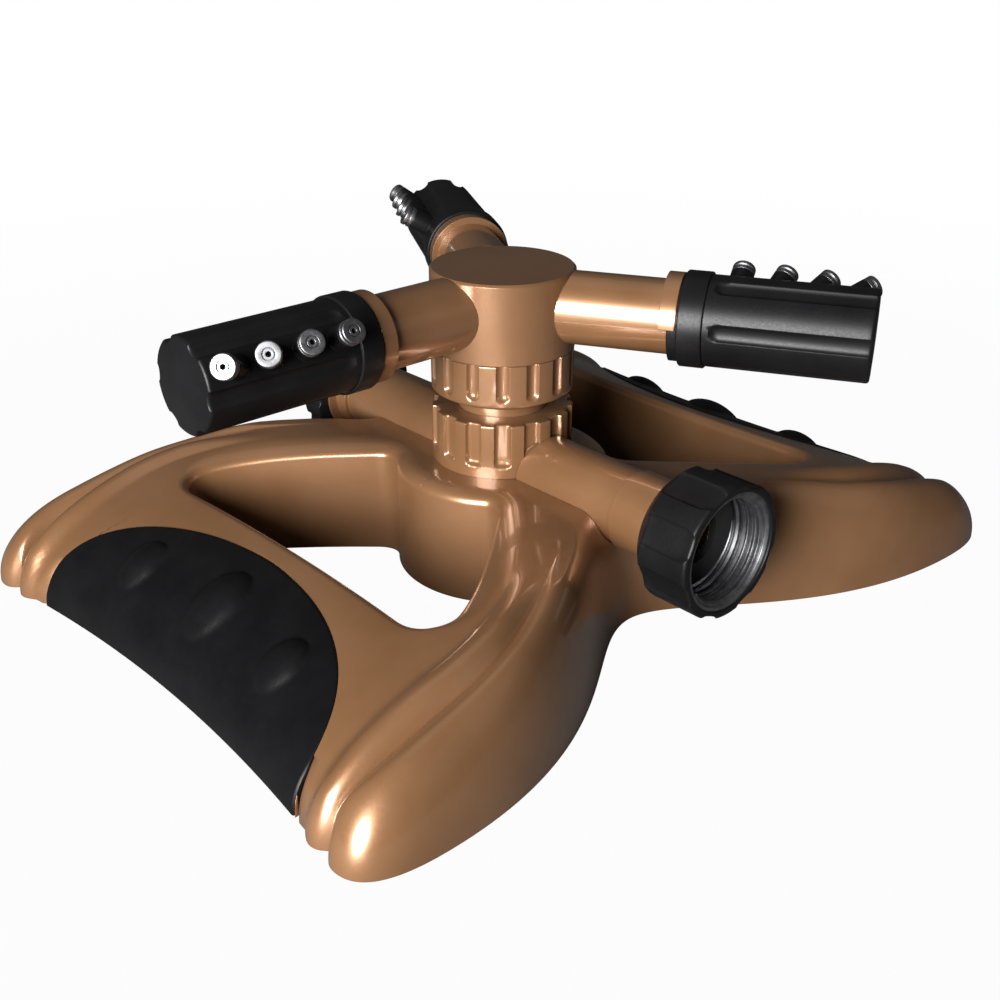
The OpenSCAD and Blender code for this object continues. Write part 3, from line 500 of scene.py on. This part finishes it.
def grooveX(y):
    # the groove between panel and leg swings out toward the toe
    u = clamp((y - troughR) / base["grooveReach"])
    return mix(crestX, toeX + 1, (1 - (1 - u) ** 2) ** base["grooveBend"])


def arch(u):
    # a full, rounded quarter arch from 1 down to 0
    return max(0, 1 - u ** base["power"]) ** (1 / base["power"])


def dome(x, y, w):
    u = max(0, y - flatY) / max(1, edgeLine(x, w) - flatY)
    return (base["top"] - w) * arch(u)


def faceHeight(x, y, w):
    fade = smoothStep(base["fadeFrom"], base["fadeTo"], y) * clamp((edgeLine(x, 0) - y) / base["fadeEdge"])
    # the inner side drops where the outer one has its groove, so that it stays under it
    return dome(x, y, w) + (-base["innerDrop"] if w > 0 else rib(grooveX(y) - x)) * fade


def trough(y, w):
    # the base makes room for the round tube
    return base["top"] - math.sqrt((troughR + w) ** 2 - y * y) if abs(y) < troughR + w else base["top"]


def edgeX(k):
    # close steps round the corner of the toe, then the pad's columns
    q = k - legCols
    if q < padFirst:
        return toeX - cornerSteps[q]
    if q == padFirst:
        return pad["half"] + pad["clear"]
    return pad["half"] * math.cos(quarterTurn((q - padFirst - 1) / (colsC - padFirst - 1)))


def legShare(k):
    return (k - colsA) / colsB


def along(k):
    # share of the leg's length at a column: the columns lie closer together beside the boss
    s = legShare(k)
    for a, b in zip(spacing, spacing[1:]):
        if s <= b[0]:
            return mix(a[1], b[1], (s - a[0]) / (b[0] - a[0]))
    return 1.0


def sideLine(t, w):
    return cubic(((halfWaist - w, 0), (halfWaist - w, 18), (halfW - w, 38), (halfW - w, tipY)), t)


def legOut(k, w):
    # the outer side of the leg: waist and flank, round the tip, and back to the toe
    if k <= colsA:
        return sideLine(sideStart * math.sin(quarterTurn(k / colsA)), w)
    s = along(k) ** (1 / sideEase)
    if s < flankEnd:
        return sideLine(mix(sideStart, 1, s / flankEnd), w)
    if s < tipEnd:
        tip = ((halfW - w, tipY), (halfW - w, tipY + 14), (halfW - 3.5 - w, halfL - w), (tipX, halfL - w))
        return cubic(tip, (s - flankEnd) / (tipEnd - flankEnd))
    toeY = edgeLine(toeX, w)
    toe = ((tipX, halfL - w), (tipX - 3, halfL - w), (toeX + 1, toeY + 1.5), (toeX, toeY))
    return cubic(toe, (s - tipEnd) / (1 - tipEnd))


def guide(k, w):
    # the line between leg and panel: along the groove, and into the toe only at its end
    if k <= colsA:
        return (crestX, (troughR + w) * math.sin(quarterTurn(k / colsA)))
    s = along(k)
    y = mix(troughR + w, edgeLine(toeX, w), s)
    return (mix(grooveX(y), toeX, s ** 8), y)


def panelOut(k, w):
    return guide(k, w) if k <= legCols else (edgeX(k), edgeLine(edgeX(k), w))


def openCorner(t, w):
    # the corner of the opening that is nearest to the toe
    return cubic(((openX - 0.5 + w, openY - 8.8), (openX + 1.8 + w, openY - 3), (openX - 1.5 + w, openY + 1.8 + w),
                  (openX - 9, openY + 1.4 + w)), t)


def panelIn(k, w):
    # the opening's edge: round the boss, into the nook, out along the leg, round the corner and back
    if k <= colsA:
        return (0, (troughR + w) * math.sin(quarterTurn(k / colsA)))
    boss = base["bossRadius"] - w
    if k <= legCols:
        s = legShare(k)
        if s <= onAxis + 1e-9:
            return (0, mix(troughR + w, boss, s / onAxis))
        if s <= onBoss:
            a = mix(math.pi / 2, bossEnd, (s - onAxis) / (onBoss - onAxis))
            return (boss * math.cos(a), boss * math.sin(a))
        nookA = (boss * math.cos(bossEnd), boss * math.sin(bossEnd))
        nookB = (openX - 27 + w * 0.73, 24.3 - w * 0.68)
        if s <= onNook:
            return cubic((nookA, (nookA[0] + 3 * math.sin(bossEnd), nookA[1] - 3 * math.cos(bossEnd)),
                          (nookB[0] - 2.04, nookB[1] - 2.19), nookB), (s - onBoss) / (onNook - onBoss))
        if s <= onLeg:
            return cubic((nookB, (nookB[0] + 9.52, nookB[1] + 10.22), (openX - 4.5 + w, openY - 18.8),
                          (openX - 0.5 + w, openY - 8.8)), (s - onNook) / (onLeg - onNook))
        return openCorner(cornerShare * (s - onLeg) / (1 - onLeg), w)
    q = (k - legCols) / colsC
    if q < edgeShare:
        return openCorner(mix(cornerShare, 1, q / edgeShare), w)
    x = (openX - 9) * math.cos(quarterTurn((q - edgeShare) / (1 - edgeShare)))
    return (x, openY + w + 1.4 * (x / (openX - 9)) ** 2)


bendStops = [(0, (0, troughR)), (onAxis, (0, 15)), (onBoss, (13, 12)), ((onBoss + onNook) / 2, (24, 12)),
             (onNook, (37, 22))]


def bend(k, o, i):
    # middle control point of a column: beside the boss the columns swing round the corner of the opening
    straight = ((o[0] + i[0]) / 2, (o[1] + i[1]) / 2)
    s = legShare(k)
    if k <= colsA or k > legCols or s >= onStraight:
        return straight
    for a, b in zip(bendStops, bendStops[1:] + [(onStraight, straight)]):
        if s <= b[0]:
            t = (s - a[0]) / (b[0] - a[0])
            return (mix(a[1][0], b[1][0], t), mix(a[1][1], b[1][1], t))


def rimWidth(k):
    if k < firstOpen:
        return 0
    if k > legCols:
        return base["rimEnd"]
    s = legShare(k)
    if s < onStraight:
        return mix(base["rimStart"], base["rimWide"], smoothStep(onBoss, onStraight, s))
    return mix(base["rimWide"], base["rimEnd"], smoothStep(0.66, 0.95, s))


openEdge = [(panelIn(k, 0), rimWidth(k)) for k in range(firstOpen, allCols + 1)]


def openGap(p):
    # distance of a point from the opening's edge, and the width of the rim there
    best = (base["rimReach"], 0)
    for (a, widthA), (b, widthB) in zip(openEdge, openEdge[1:]):
        v = (b[0] - a[0], b[1] - a[1])
        square = v[0] ** 2 + v[1] ** 2
        t = clamp(((p[0] - a[0]) * v[0] + (p[1] - a[1]) * v[1]) / square) if square else 0
        gap = math.hypot(p[0] - a[0] - t * v[0], p[1] - a[1] - t * v[1])
        if gap < best[0]:
            best = (gap, mix(widthA, widthB, t))
    return best


def padReach(x):
    # how far the pad's outline lies from the wing's outer end
    return edgeLine(x, 0) - padY + pad["reach"] * math.sqrt(max(0, 1 - (x / pad["half"]) ** 2))


def crossesPad(k):
    # the last column that passes the pad stands pad["clear"] away from it
    return k > legCols and edgeX(k) < pad["half"] + 0.1


def bedEnd(k):
    return padReach(edgeX(k)) + pad["clear"] if crossesPad(k) else 7


def levels(length, rim, bed, w):
    # distances of the mesh lines from the outer end of a column: the pad's bed and its wall, the face, the rim
    if w > 0:
        return [length * f for f in (0, 0.04, 0.12, 0.3, 0.6, 1)]
    rim = max(rim, 1)
    first = [bed * (1 - math.cos(quarterTurn(i / padRows))) for i in range(padRows)]
    middle = [mix(max(bed + 0.6, 8.5), length - rim, i / midRows) for i in range(midRows)]
    last = [length - rim * (1 - math.sin(quarterTurn(i / rimRows))) for i in range(rimRows + 1)]
    return first + [bed, bed + 0.03] + middle + last


def panelPoint(k, d, length, recess, w):
    # recess is the depth of the pad's bed at this point
    o, i = panelOut(k, w), panelIn(k, w)
    c, t = bend(k, o, i), d / length
    q = tuple(o[n] * (1 - t) ** 2 + 2 * c[n] * t * (1 - t) + i[n] * t * t for n in (0, 1))
    p = (q[0], q[1] - recess * (1 - clamp(d / bedEnd(k))) ** 2) if recess else q
    nearRim = w == 0 and math.hypot(p[0] - i[0], p[1] - i[1]) < base["rimReach"]
    gap, rim = openGap(p) if nearRim else (base["rimReach"], 0)
    t = 1 - gap / rim if gap < rim else 0
    drop = base["rim"] * (1 - math.sqrt(1 - t * t))
    onGround = d == 0 and k >= legCols
    z = 0 if onGround else max(0.05, min(faceHeight(p[0], p[1], recess or w), trough(p[1], w)) - drop)
    return (p[0], p[1], z)


def panelColumn(k, w):
    o, i = panelOut(k, w), panelIn(k, w)
    length = math.hypot(o[0] - i[0], o[1] - i[1])
    inBed = w == 0 and crossesPad(k)
    column = []
    for j, d in enumerate(levels(length, rimWidth(k), bedEnd(k), w)):
        column.append(panelPoint(k, d, length, pad["deep"] if inBed and j <= padRows else 0, w))
    return column


def legColumn(k, rows, w):
    o, g = legOut(k, w), guide(k, w)
    top = faceHeight(g[0], g[1], w)
    bulb = base["bulb"] if w == 0 else 0
    column = []
    for j in range(rows + 1):
        c = 1 - math.cos(quarterTurn(j / rows))
        p = (mix(o[0], g[0], c), mix(o[1], g[1], c))
        z = top * arch(clamp(1 - c)) + bulb * math.sin(math.pi * c ** 1.5) * smoothStep(0.15, 0.55, legShare(k))
        column.append((p[0], p[1], 0 if k == legCols or j == 0 else min(z, trough(p[1], w))))
    return column


def openingWall(top, foot):
    return [top] + [(foot[0], foot[1], top[2] * f) for f in (0.7, 0.35)] + [foot]


def baseMesh():
    wall, opened = base["wall"], range(firstOpen, allCols + 1)
    panels = [panelColumn(k, 0) for k in range(allCols + 1)]
    legs = [legColumn(k, legRows, 0) for k in range(legCols + 1)]
    panelsIn = [panelColumn(k, wall)[::-1] for k in range(allCols + 1)]
    legsIn = [legColumn(k, innerLegRows, wall)[::-1] for k in range(legCols + 1)]
    outer, inner = ([(*panelIn(k, w), 0) for k in range(allCols + 1)] for w in (0, wall))
    sheets = [panels, legs, panelsIn, legsIn,
              [openingWall(panels[k][-1], outer[k]) for k in opened],
              [[outer[k], inner[k]] for k in opened],
              [[inner[k], panelsIn[k][0]] for k in opened],
              [[legsIn[k][-1], legs[k][0]] for k in range(legCols + 1)],
              [[panelsIn[k][-1], panels[k][0]] for k in range(legCols, allCols + 1)]]
    points, faces = [], []
    for sx, sy in ((1, 1), (-1, 1), (1, -1), (-1, -1)):
        for rows in sheets:
            first, n = len(points), len(rows[0])
            points += [(p[0] * sx, p[1] * sy, p[2]) for row in rows for p in row]
            for i in range(len(rows) - 1):
                for j in range(n - 1):
                    a = first + i * n + j
                    quad = (a, a + 1, a + n + 1, a + n)
                    faces.append(quad if sx * sy > 0 else quad[::-1])
    return cleaned(meshFrom("baseShell", points, faces), base["angle"], 1e-6)


baseShell = newPiece("moulded_base", baseMesh(), "bronze", "base", ["base_shell"])
print("base made", len(baseShell.data.polygons))


# Soft pads

def lens(x, y, bump):
    # an oval bump with a crisp foot; bump is its distance from the wing's outer end and its two half widths
    inward, a, b = bump
    return max(0, 1 - (x / a) ** 2 - ((y - (padY - inward)) / b) ** 2) ** 0.8


def bumps(x, y):
    outer = lens(abs(x) - pad["pitch"], y, pad["outerBump"])
    return pad["bump"] * (lens(x, y, pad["middleBump"]) + pad["outerShare"] * outer)


def padMesh(side):
    cols, rows, half = pad["cols"], pad["rows"], pad["half"] - pad["gap"]
    points = []
    for proud in (True, False):
        for k in range(cols + 1):
            x = half * -math.cos(math.pi * k / cols)
            e = max(0.4, padReach(x) - pad["gap"])
            for j in range(rows + 1):
                d = e * (1 - math.cos(quarterTurn(j / rows)))
                fromEdge = min(1, (e - d) / pad["roundOff"], (half - abs(x)) / pad["roundOff"])
                lift = pad["proud"] * (1 - (1 - max(0, fromEdge)) ** 2) if proud else pad["gap"] - pad["deep"]
                shift = lift * (1 - clamp(d / e)) ** 2
                y = edgeLine(x, 0) - d + shift
                z = dome(x, y - shift, 0) + lift + (bumps(x, y) if proud else 0)
                points.append((x, y * side, max(0.3, z)))
    n, sheet = rows + 1, (cols + 1) * (rows + 1)
    faces = [(a, a + 1, a + n + 1, a + n) for k in range(cols) for a in range(k * n, k * n + rows)]
    faces += [tuple(sheet + i for i in face[::-1]) for face in faces]
    rim = [k * n for k in range(cols + 1)] + [cols * n + j for j in range(1, n)]
    rim += [k * n + rows for k in range(cols - 1, -1, -1)] + list(range(rows - 1, 0, -1))
    faces += [(rim[i - 1], rim[i], rim[i] + sheet, rim[i - 1] + sheet) for i in range(len(rim))]
    return cleaned(meshFrom("pad", points, faces), pad["angle"])


newPiece("soft_pad_front", padMesh(-1), "pad", "base", ["grip_pad_front"])
newPiece("soft_pad_rear", padMesh(1), "pad", "base", ["grip_pad_rear"])
print("pads made")


# Ribbed rings; low is where the flutes begin, above the ring's foot

upper = {"radius": 18.9, "bore": 12.08, "foot": 15.9, "seat": 14.6, "step": 1.4, "lip": 2, "flutes": 15, "turn": 6,
         "fluteWidth": 3.4, "fluteDepth": 1.3, "low": 4.6, "fade": 1.5, "skin": 2.2, "power": 2.0, "segments": 480,
         "angle": 50}
lower = {"radius": 18.9, "bore": 12.05, "inside": 13.5, "arch": 9.82, "lip": 1.9, "flutes": 15, "turn": 6,
         "fluteWidth": 4.4, "fluteDepth": 1.3, "low": 4.4, "fade": 1.2, "skin": 2.2, "power": 5.0, "segments": 480,
         "angle": 50}
farEnd = 1000  # mm past both ends of every turned piece


def ringWall(radius, low, high, step=0.4):
    # points up the outer side, close enough for a flute's rounded end
    count = max(2, int((high - low) / step))
    return [(radius, mix(low, high, i / count), 0) for i in range(1, count)]


def fluted(name, corners, finish, shape, low=-farEnd, high=farEnd):
    # a turned shape, with flutes pressed in between two heights; the other sizes are in the piece's dictionary
    values = {"Count": shape["flutes"], "Turn": math.radians(shape["turn"]), "Width": shape["fluteWidth"] * mm,
              "Depth": shape["fluteDepth"] * mm, "Low": low * mm, "High": high * mm, "Fade": shape["fade"] * mm,
              "Radius": shape["radius"] * mm, "Skin": shape["skin"] * mm, "Power": shape["power"]}
    return runTree(flutes, latheMesh(name, corners, shape["segments"]), values, finish)


def upperRing():
    radius, bore, seat = upper["radius"], upper["bore"], upper["seat"]
    step, lip = lipZ + upper["step"], lipZ + upper["lip"]
    corners = [(bore, lipZ, 0.2), (upper["foot"], lipZ, 0.4), (upper["foot"] + 0.6, step, 0.2), (radius, step, 0.5)]
    corners += ringWall(radius, lipZ + 2.1, nutTop - 0.5)
    corners += [(radius, nutTop, 0.35), (seat, nutTop, 0.2), (seat, lip, 0), (bore, lip, 0)]
    mesh = fluted("upperRing", corners, "bronze", upper, lipZ + upper["low"])
    smoothEdges(mesh, upper["angle"])
    return mesh


def lowerRing():
    # wide flat flutes that run out at the top; the foot follows the tube that the ring stands over
    radius, bore, inside, lip = lower["radius"], lower["bore"], lower["inside"], ringTop - lower["lip"]
    corners = [(inside, tubeZ, 0), (radius, tubeZ, 0)]
    corners += ringWall(radius, tubeZ, ringTop - 0.5)
    corners += [(radius, ringTop, 0.4), (bore, ringTop, 0.3), (bore, lip, 0), (inside, lip, 0)]
    mesh = fluted("lowerRing", corners, "bronze", lower, tubeZ + lower["low"])
    for vertex in mesh.vertices:
        y = vertex.co.y / mm
        if abs(y) < lower["arch"]:
            vertex.co.z = max(vertex.co.z, (tubeZ + math.sqrt(lower["arch"] ** 2 - y * y)) * mm)
    return cleaned(mesh, lower["angle"])


newPiece("upper_ring", upperRing(), "bronze", "rotor", ["union_nut"])
newPiece("lower_ring", lowerRing(), "bronze", "base", ["riser_collar"])
print("rings made")


# Nozzle barrels and jets; angles are in degrees, and low is where the flutes begin, past the collar

barrel = {"radius": 11.4, "collar": 12.0, "collarLength": 6.2, "length": 46.2, "bore": 8.48, "boreDepth": 13.5,
          "cavity": 9.4, "endWall": 2.3, "flutes": 6, "turn": -2, "fluteWidth": 4.2, "fluteDepth": 1.0, "low": 4,
          "fade": 2.3, "skin": 2.0, "power": 2.0, "segments": 240, "angle": 35}
tab = {"inner": 9.75, "outer": 11.1, "low": -2.4, "high": 0.6, "start": 181, "end": 239, "steps": 32}
jet = {"count": 4, "first": 11.4, "pitch": 9.2, "tilt": 3, "fan": 14, "row": 29, "radius": 2.95, "root": 2.6,
       "stem": 5.0, "head": 2.6, "shank": 1.7, "shankLength": 2, "hole": 0.6, "inner": 1.2, "outer": 1.45,
       "face": 0.1, "grooveDepth": 0.5, "waist": 0.3, "segments": 48, "angle": 35}


def sectorMesh(name, sector):
    # part of a ring, between two angles
    section = [(sector["inner"], sector["low"]), (sector["outer"], sector["low"]),
               (sector["outer"], sector["high"]), (sector["inner"], sector["high"])]
    steps, points = sector["steps"], []
    for k in range(steps + 1):
        a = math.radians(mix(sector["start"], sector["end"], k / steps))
        points += [(r * math.cos(a), r * math.sin(a), h) for r, h in section]
    faces = [(0, 1, 2, 3), tuple(4 * steps + i for i in (3, 2, 1, 0))]
    for k in range(steps):
        faces += [(4 * k + i, 4 * k + 4 + i, 4 * k + 4 + (i + 1) % 4, 4 * k + (i + 1) % 4) for i in range(4)]
    return meshFrom(name, points, faces)


def standInRow(mesh, finish):
    # copies along the barrel, each leaning further outward, in the barrel's own frame
    values = {"Count": jet["count"], "First": jet["first"] * mm, "Pitch": jet["pitch"] * mm,
              "Tilt": math.radians(jet["tilt"]), "Fan": math.radians(jet["fan"]), "Height": barrel["radius"] * mm}
    row = runTree(leaningRow, mesh, values, finish)
    c, s = math.cos(math.radians(jet["row"])), math.sin(math.radians(jet["row"]))
    row.transform(Matrix(((0, s, c, 0), (0, -c, s, 0), (1, 0, 0, 0), (0, 0, 0, 1))))
    return row


def barrelMesh():
    r, collar, step, end = barrel["radius"], barrel["collar"], barrel["collarLength"], barrel["length"]
    bore, cavity, inside = barrel["bore"], barrel["cavity"], barrel["length"] - barrel["endWall"]
    corners = [(bore, 0, 0.3), (collar, 0, 0.4), (collar, step, 0.4), (r, step, 0)]
    corners += ringWall(r, step, end - 1, 0.8)
    corners += [(r, end, 0.8), (0, end, 0), (0, inside, 0), (cavity, inside, 0.4), (cavity, barrel["boreDepth"], 0),
                (bore, barrel["boreDepth"], 0)]
    body = fluted("barrel", corners, "black", barrel, step + barrel["low"])
    foot, top, radius = -jet["root"], jet["stem"], jet["radius"]
    stem = latheMesh("stem", [(0, foot, 0), (radius, foot, 0), (radius, top, 0.25), (0, top, 0)], jet["segments"])
    parts = [body, standInRow(stem, "black"), sectorMesh("tab", tab)]
    return cleaned(joinMeshes("nozzleBarrel", parts), barrel["angle"])


def jetMesh():
    # turned metal: a head in two steps, a ring groove in its face and the water hole
    foot, top, r, waist = jet["stem"], jet["stem"] + jet["head"], jet["radius"], jet["radius"] - jet["waist"]
    face, groove, root = top - jet["face"], top - jet["grooveDepth"], foot - jet["shankLength"]
    corners = [(jet["hole"], root, 0), (jet["hole"], face, 0.08), (jet["inner"], face, 0), (jet["inner"], groove, 0),
               (jet["outer"], groove, 0), (jet["outer"], top, 0.05), (r, top, 0.35), (r, foot + 1.5, 0.15),
               (waist, foot + 1.3, 0), (waist, foot + 1.1, 0), (r, foot + 0.9, 0.15), (r, foot, 0.1),
               (jet["shank"], foot, 0), (jet["shank"], root, 0)]
    return cleaned(standInRow(latheMesh("jet", corners, jet["segments"]), "steel"), jet["angle"])


nozzleParts = (("nozzle_barrel", barrelMesh(), "black", "barrel"), ("nozzle_jets", jetMesh(), "steel", "jets"))
for number, body in ((1, "barrel_a"), (2, "barrel_b"), (3, "barrel_c")):
    for label, shape, finish, node in nozzleParts:
        mesh = shape.copy()
        mesh.transform(onArm(number, barrelS))
        newPiece(f"{label}_{number}", mesh, finish, body, [f"{node}_{number}"])
print("barrels made")


# Hose coupling and end cap; start is where a piece begins on the tube's axis, and low and high are how far the
# collar's scallops stay from its two ends

coupling = {"start": 63, "radius": 17, "length": 16.8, "lip": 2.5, "bore": 9.08, "slope": 2.6, "insert": 14.9,
            "flutes": 8, "turn": 22.5, "fluteWidth": 8.14, "fluteDepth": 1.1, "low": 5.0, "high": 4, "fade": 5.4,
            "skin": 2.0, "power": 2.0, "segments": 384, "angle": 24}
thread = {"radius": 13.5, "start": 73, "relief": 13.9, "end": 79.4, "mouth": 0.6, "pitch": 2.2, "ridge": 0.8,
          "first": 68.6, "last": 78.3, "segments": 128, "angle": 40}
cap = {"start": -71, "radius": 17, "length": 8.5, "inner": 13.48, "floor": 1.75, "chamfer": 1.2, "flutes": 16,
       "turn": 0, "fluteWidth": 2.8, "fluteDepth": 0.8, "fade": 1.0, "skin": 1.6, "power": 2.0, "segments": 384,
       "angle": 30}


def collarMesh():
    r, length, lip, slope = coupling["radius"], coupling["length"], coupling["lip"], coupling["slope"]
    bore, insert = coupling["bore"], coupling["insert"]
    corners = [(bore, 0, 0.2), (r - slope, 0, 0.4), (r, slope, 0.8)]
    corners += ringWall(r, 3.2, length - 1.1, 0.5)
    corners += [(r, length, 0.9), (insert, length, 0.25), (insert, lip, 0), (bore, lip, 0)]
    mesh = fluted("collar", corners, "black", coupling, coupling["low"], length - coupling["high"])
    mesh = cleaned(mesh, coupling["angle"])
    mesh.transform(alongX(coupling["start"]))
    return mesh


def insertMesh():
    start = coupling["start"] + coupling["lip"]
    end, middle, outer = thread["end"] - start, thread["start"] - start, coupling["insert"]
    r, relief, mouth = thread["radius"], thread["relief"], thread["mouth"]
    corners = [(relief, 0, 0), (outer, 0, 0), (outer, end, 0), (r + mouth, end, 0.1), (r, end - mouth, 0.1),
               (r, middle, 0), (relief, middle, 0)]
    turns = (thread["last"] - thread["first"]) / thread["pitch"]
    values = {"Turns": turns, "Radius": r * mm, "Pitch": thread["pitch"] * mm, "Ridge": thread["ridge"] * mm}
    ridge = runTree(helicalRidge, bpy.data.meshes.new("nothing"), values, "steel")
    ridge.transform(Matrix.Translation((0, 0, (thread["first"] - start) * mm)))
    mesh = joinMeshes("threadedInsert", [latheMesh("insert", corners, thread["segments"]), ridge])
    mesh.transform(alongX(start))
    smoothEdges(mesh, thread["angle"])
    return mesh


def capMesh():
    r, length, chamfer, inner, floor = cap["radius"], cap["length"], cap["chamfer"], cap["inner"], cap["floor"]
    corners = [(0, 0, 0), (r - chamfer, 0, 0.5), (r, chamfer, 0.4)]
    corners += ringWall(r, 1.7, length - 0.6, 0.6)
    corners += [(r, length, 0.5), (inner, length, 0.2), (inner, floor, 0), (0, floor, 0)]
    mesh = cleaned(fluted("cap", corners, "black", cap), cap["angle"])
    mesh.transform(alongX(cap["start"]))
    return mesh


newPiece("swivel_collar", collarMesh(), "black", "coupling", ["inlet_grip"])
newPiece("threaded_insert", insertMesh(), "steel", "coupling", ["inlet_thread"])
newPiece("grooved_end_cap", capMesh(), "black", "cap", ["end_cap"])
print("coupling made")

# Everything else keeps its CAD shape and takes its finish here
slots = {part["node"]: part["material_slot"] for part in frame["record"]["subparts"]}
for name, part in frame["nodes"].items():
    if slots.get(name):
        for i in range(len(part.data.materials)):
            part.data.materials[i] = finishes[slots[name]]
print("finishes set")


# Studio, sizes in metres

studio = {"floor": "#606060", "floorRough": 0.9, "floorHalf": 0.6, "fade": (0.2, 0.5), "whiteness": 0.97,
          "world": 0.055, "target": (0, 0, 0.04)}
lamps = {"key": {"place": (0.32, -0.8, 0.27), "size": 0.55, "power": 30.0},
         "top": {"place": (-0.25, 0.15, 0.95), "size": 0.7, "power": 0.3},
         "fill": {"place": (0.75, 0.35, 0.5), "size": 0.6, "power": 0.1}}
white = (1, 1, 1, 1)


def paleFloor():
    # painted board: pale and dull, fading out into the white world well clear of the object. To the camera
    # it is almost plain white, so that its shadow stays faint; it sheds no light of its own on the object
    near, far = studio["fade"]
    material, tree, shader, coords = newMaterial("paleFloor", {
        "Base Color": hexColor(studio["floor"]), "Roughness": studio["floorRough"]})
    output = next(node for node in tree.nodes if node.bl_idname == "ShaderNodeOutputMaterial")
    path = addNode(tree, "ShaderNodeLightPath")
    whiteness = addNode(tree, calc, {"operation": "MULTIPLY", 1: studio["whiteness"]}, [(0, path, "Is Camera Ray")])
    plain = addNode(tree, "ShaderNodeEmission", {"Color": white, "Strength": 1.0})
    both = addNode(tree, "ShaderNodeMixShader", links=[(0, whiteness, 0), (1, shader, 0), (2, plain, 0)])
    middle = addNode(tree, "ShaderNodeVectorMath", {"operation": "LENGTH"}, [(0, coords, "Object")])
    fade = addNode(tree, "ShaderNodeMapRange", {"From Min": near, "From Max": far, "To Min": 1.0, "To Max": 0.0},
                   [("Value", middle, "Value")])
    clear = addNode(tree, "ShaderNodeBsdfTransparent")
    faded = addNode(tree, "ShaderNodeMixShader", links=[(0, fade, 0), (1, clear, 0), (2, both, 0)])
    tree.links.new(faded.outputs[0], output.inputs["Surface"])
    return material


def makeFloor():
    size = studio["floorHalf"]
    mesh = bpy.data.meshes.new("floor")
    mesh.from_pydata([(-size, -size, 0), (size, -size, 0), (size, size, 0), (-size, size, 0)], [], [(0, 1, 2, 3)])
    floor = bpy.data.objects.new("floor", mesh)
    bpy.context.collection.objects.link(floor)
    mesh.materials.append(paleFloor())


def softLight(name, place, size, power):
    lamp = bpy.data.lights.new(name, "AREA")
    lamp.shape = "DISK"
    lamp.size = size
    lamp.energy = power
    holder = bpy.data.objects.new(name, lamp)
    holder.location = place
    holder.rotation_euler = (Vector(studio["target"]) - Vector(place)).to_track_quat("-Z", "Y").to_euler()
    bpy.context.collection.objects.link(holder)


def paleWorld():
    # plain white to the camera, and only a dim light on the object
    world = bpy.data.worlds.new("studio")
    bpy.context.scene.world = world
    world.use_nodes = True
    tree = world.node_tree
    tree.nodes.clear()
    dim, bright = (addNode(tree, "ShaderNodeBackground", {"Color": white, "Strength": strength})
                   for strength in (studio["world"], 1.0))
    path = addNode(tree, "ShaderNodeLightPath")
    either = addNode(tree, "ShaderNodeMixShader", links=[(0, path, "Is Camera Ray"), (1, dim, 0), (2, bright, 0)])
    addNode(tree, "ShaderNodeOutputWorld", links=[("Surface", either, 0)])


makeFloor()
for name, lamp in lamps.items():
    softLight(name, lamp["place"], lamp["size"], lamp["power"])
paleWorld()

# Camera, fitted to the photograph's edges
view = {"place": (0.2454, -0.2235, 0.1771), "yaw": 138.09, "pitch": 25.64, "lens": 47.7, "sensor": 36,
        "shift": (0.0067, -0.0054), "clip": (0.01, 20)}
camera = bpy.data.objects.new("camera", bpy.data.cameras.new("camera"))
bpy.context.collection.objects.link(camera)
yaw, pitch = math.radians(view["yaw"]), math.radians(view["pitch"])
look = Vector((math.cos(yaw) * math.cos(pitch), math.sin(yaw) * math.cos(pitch), -math.sin(pitch)))
side = look.cross(Vector((0, 0, 1))).normalized()
camera.location = view["place"]
camera.rotation_euler = Matrix((side, side.cross(look), -look)).transposed().to_euler()
camera.data.lens = view["lens"]
camera.data.sensor_width = view["sensor"]
camera.data.shift_x, camera.data.shift_y = view["shift"]
camera.data.clip_start, camera.data.clip_end = view["clip"]
bpy.context.scene.camera = camera
bpy.context.scene.view_settings.view_transform = "Standard"
print("studio made")
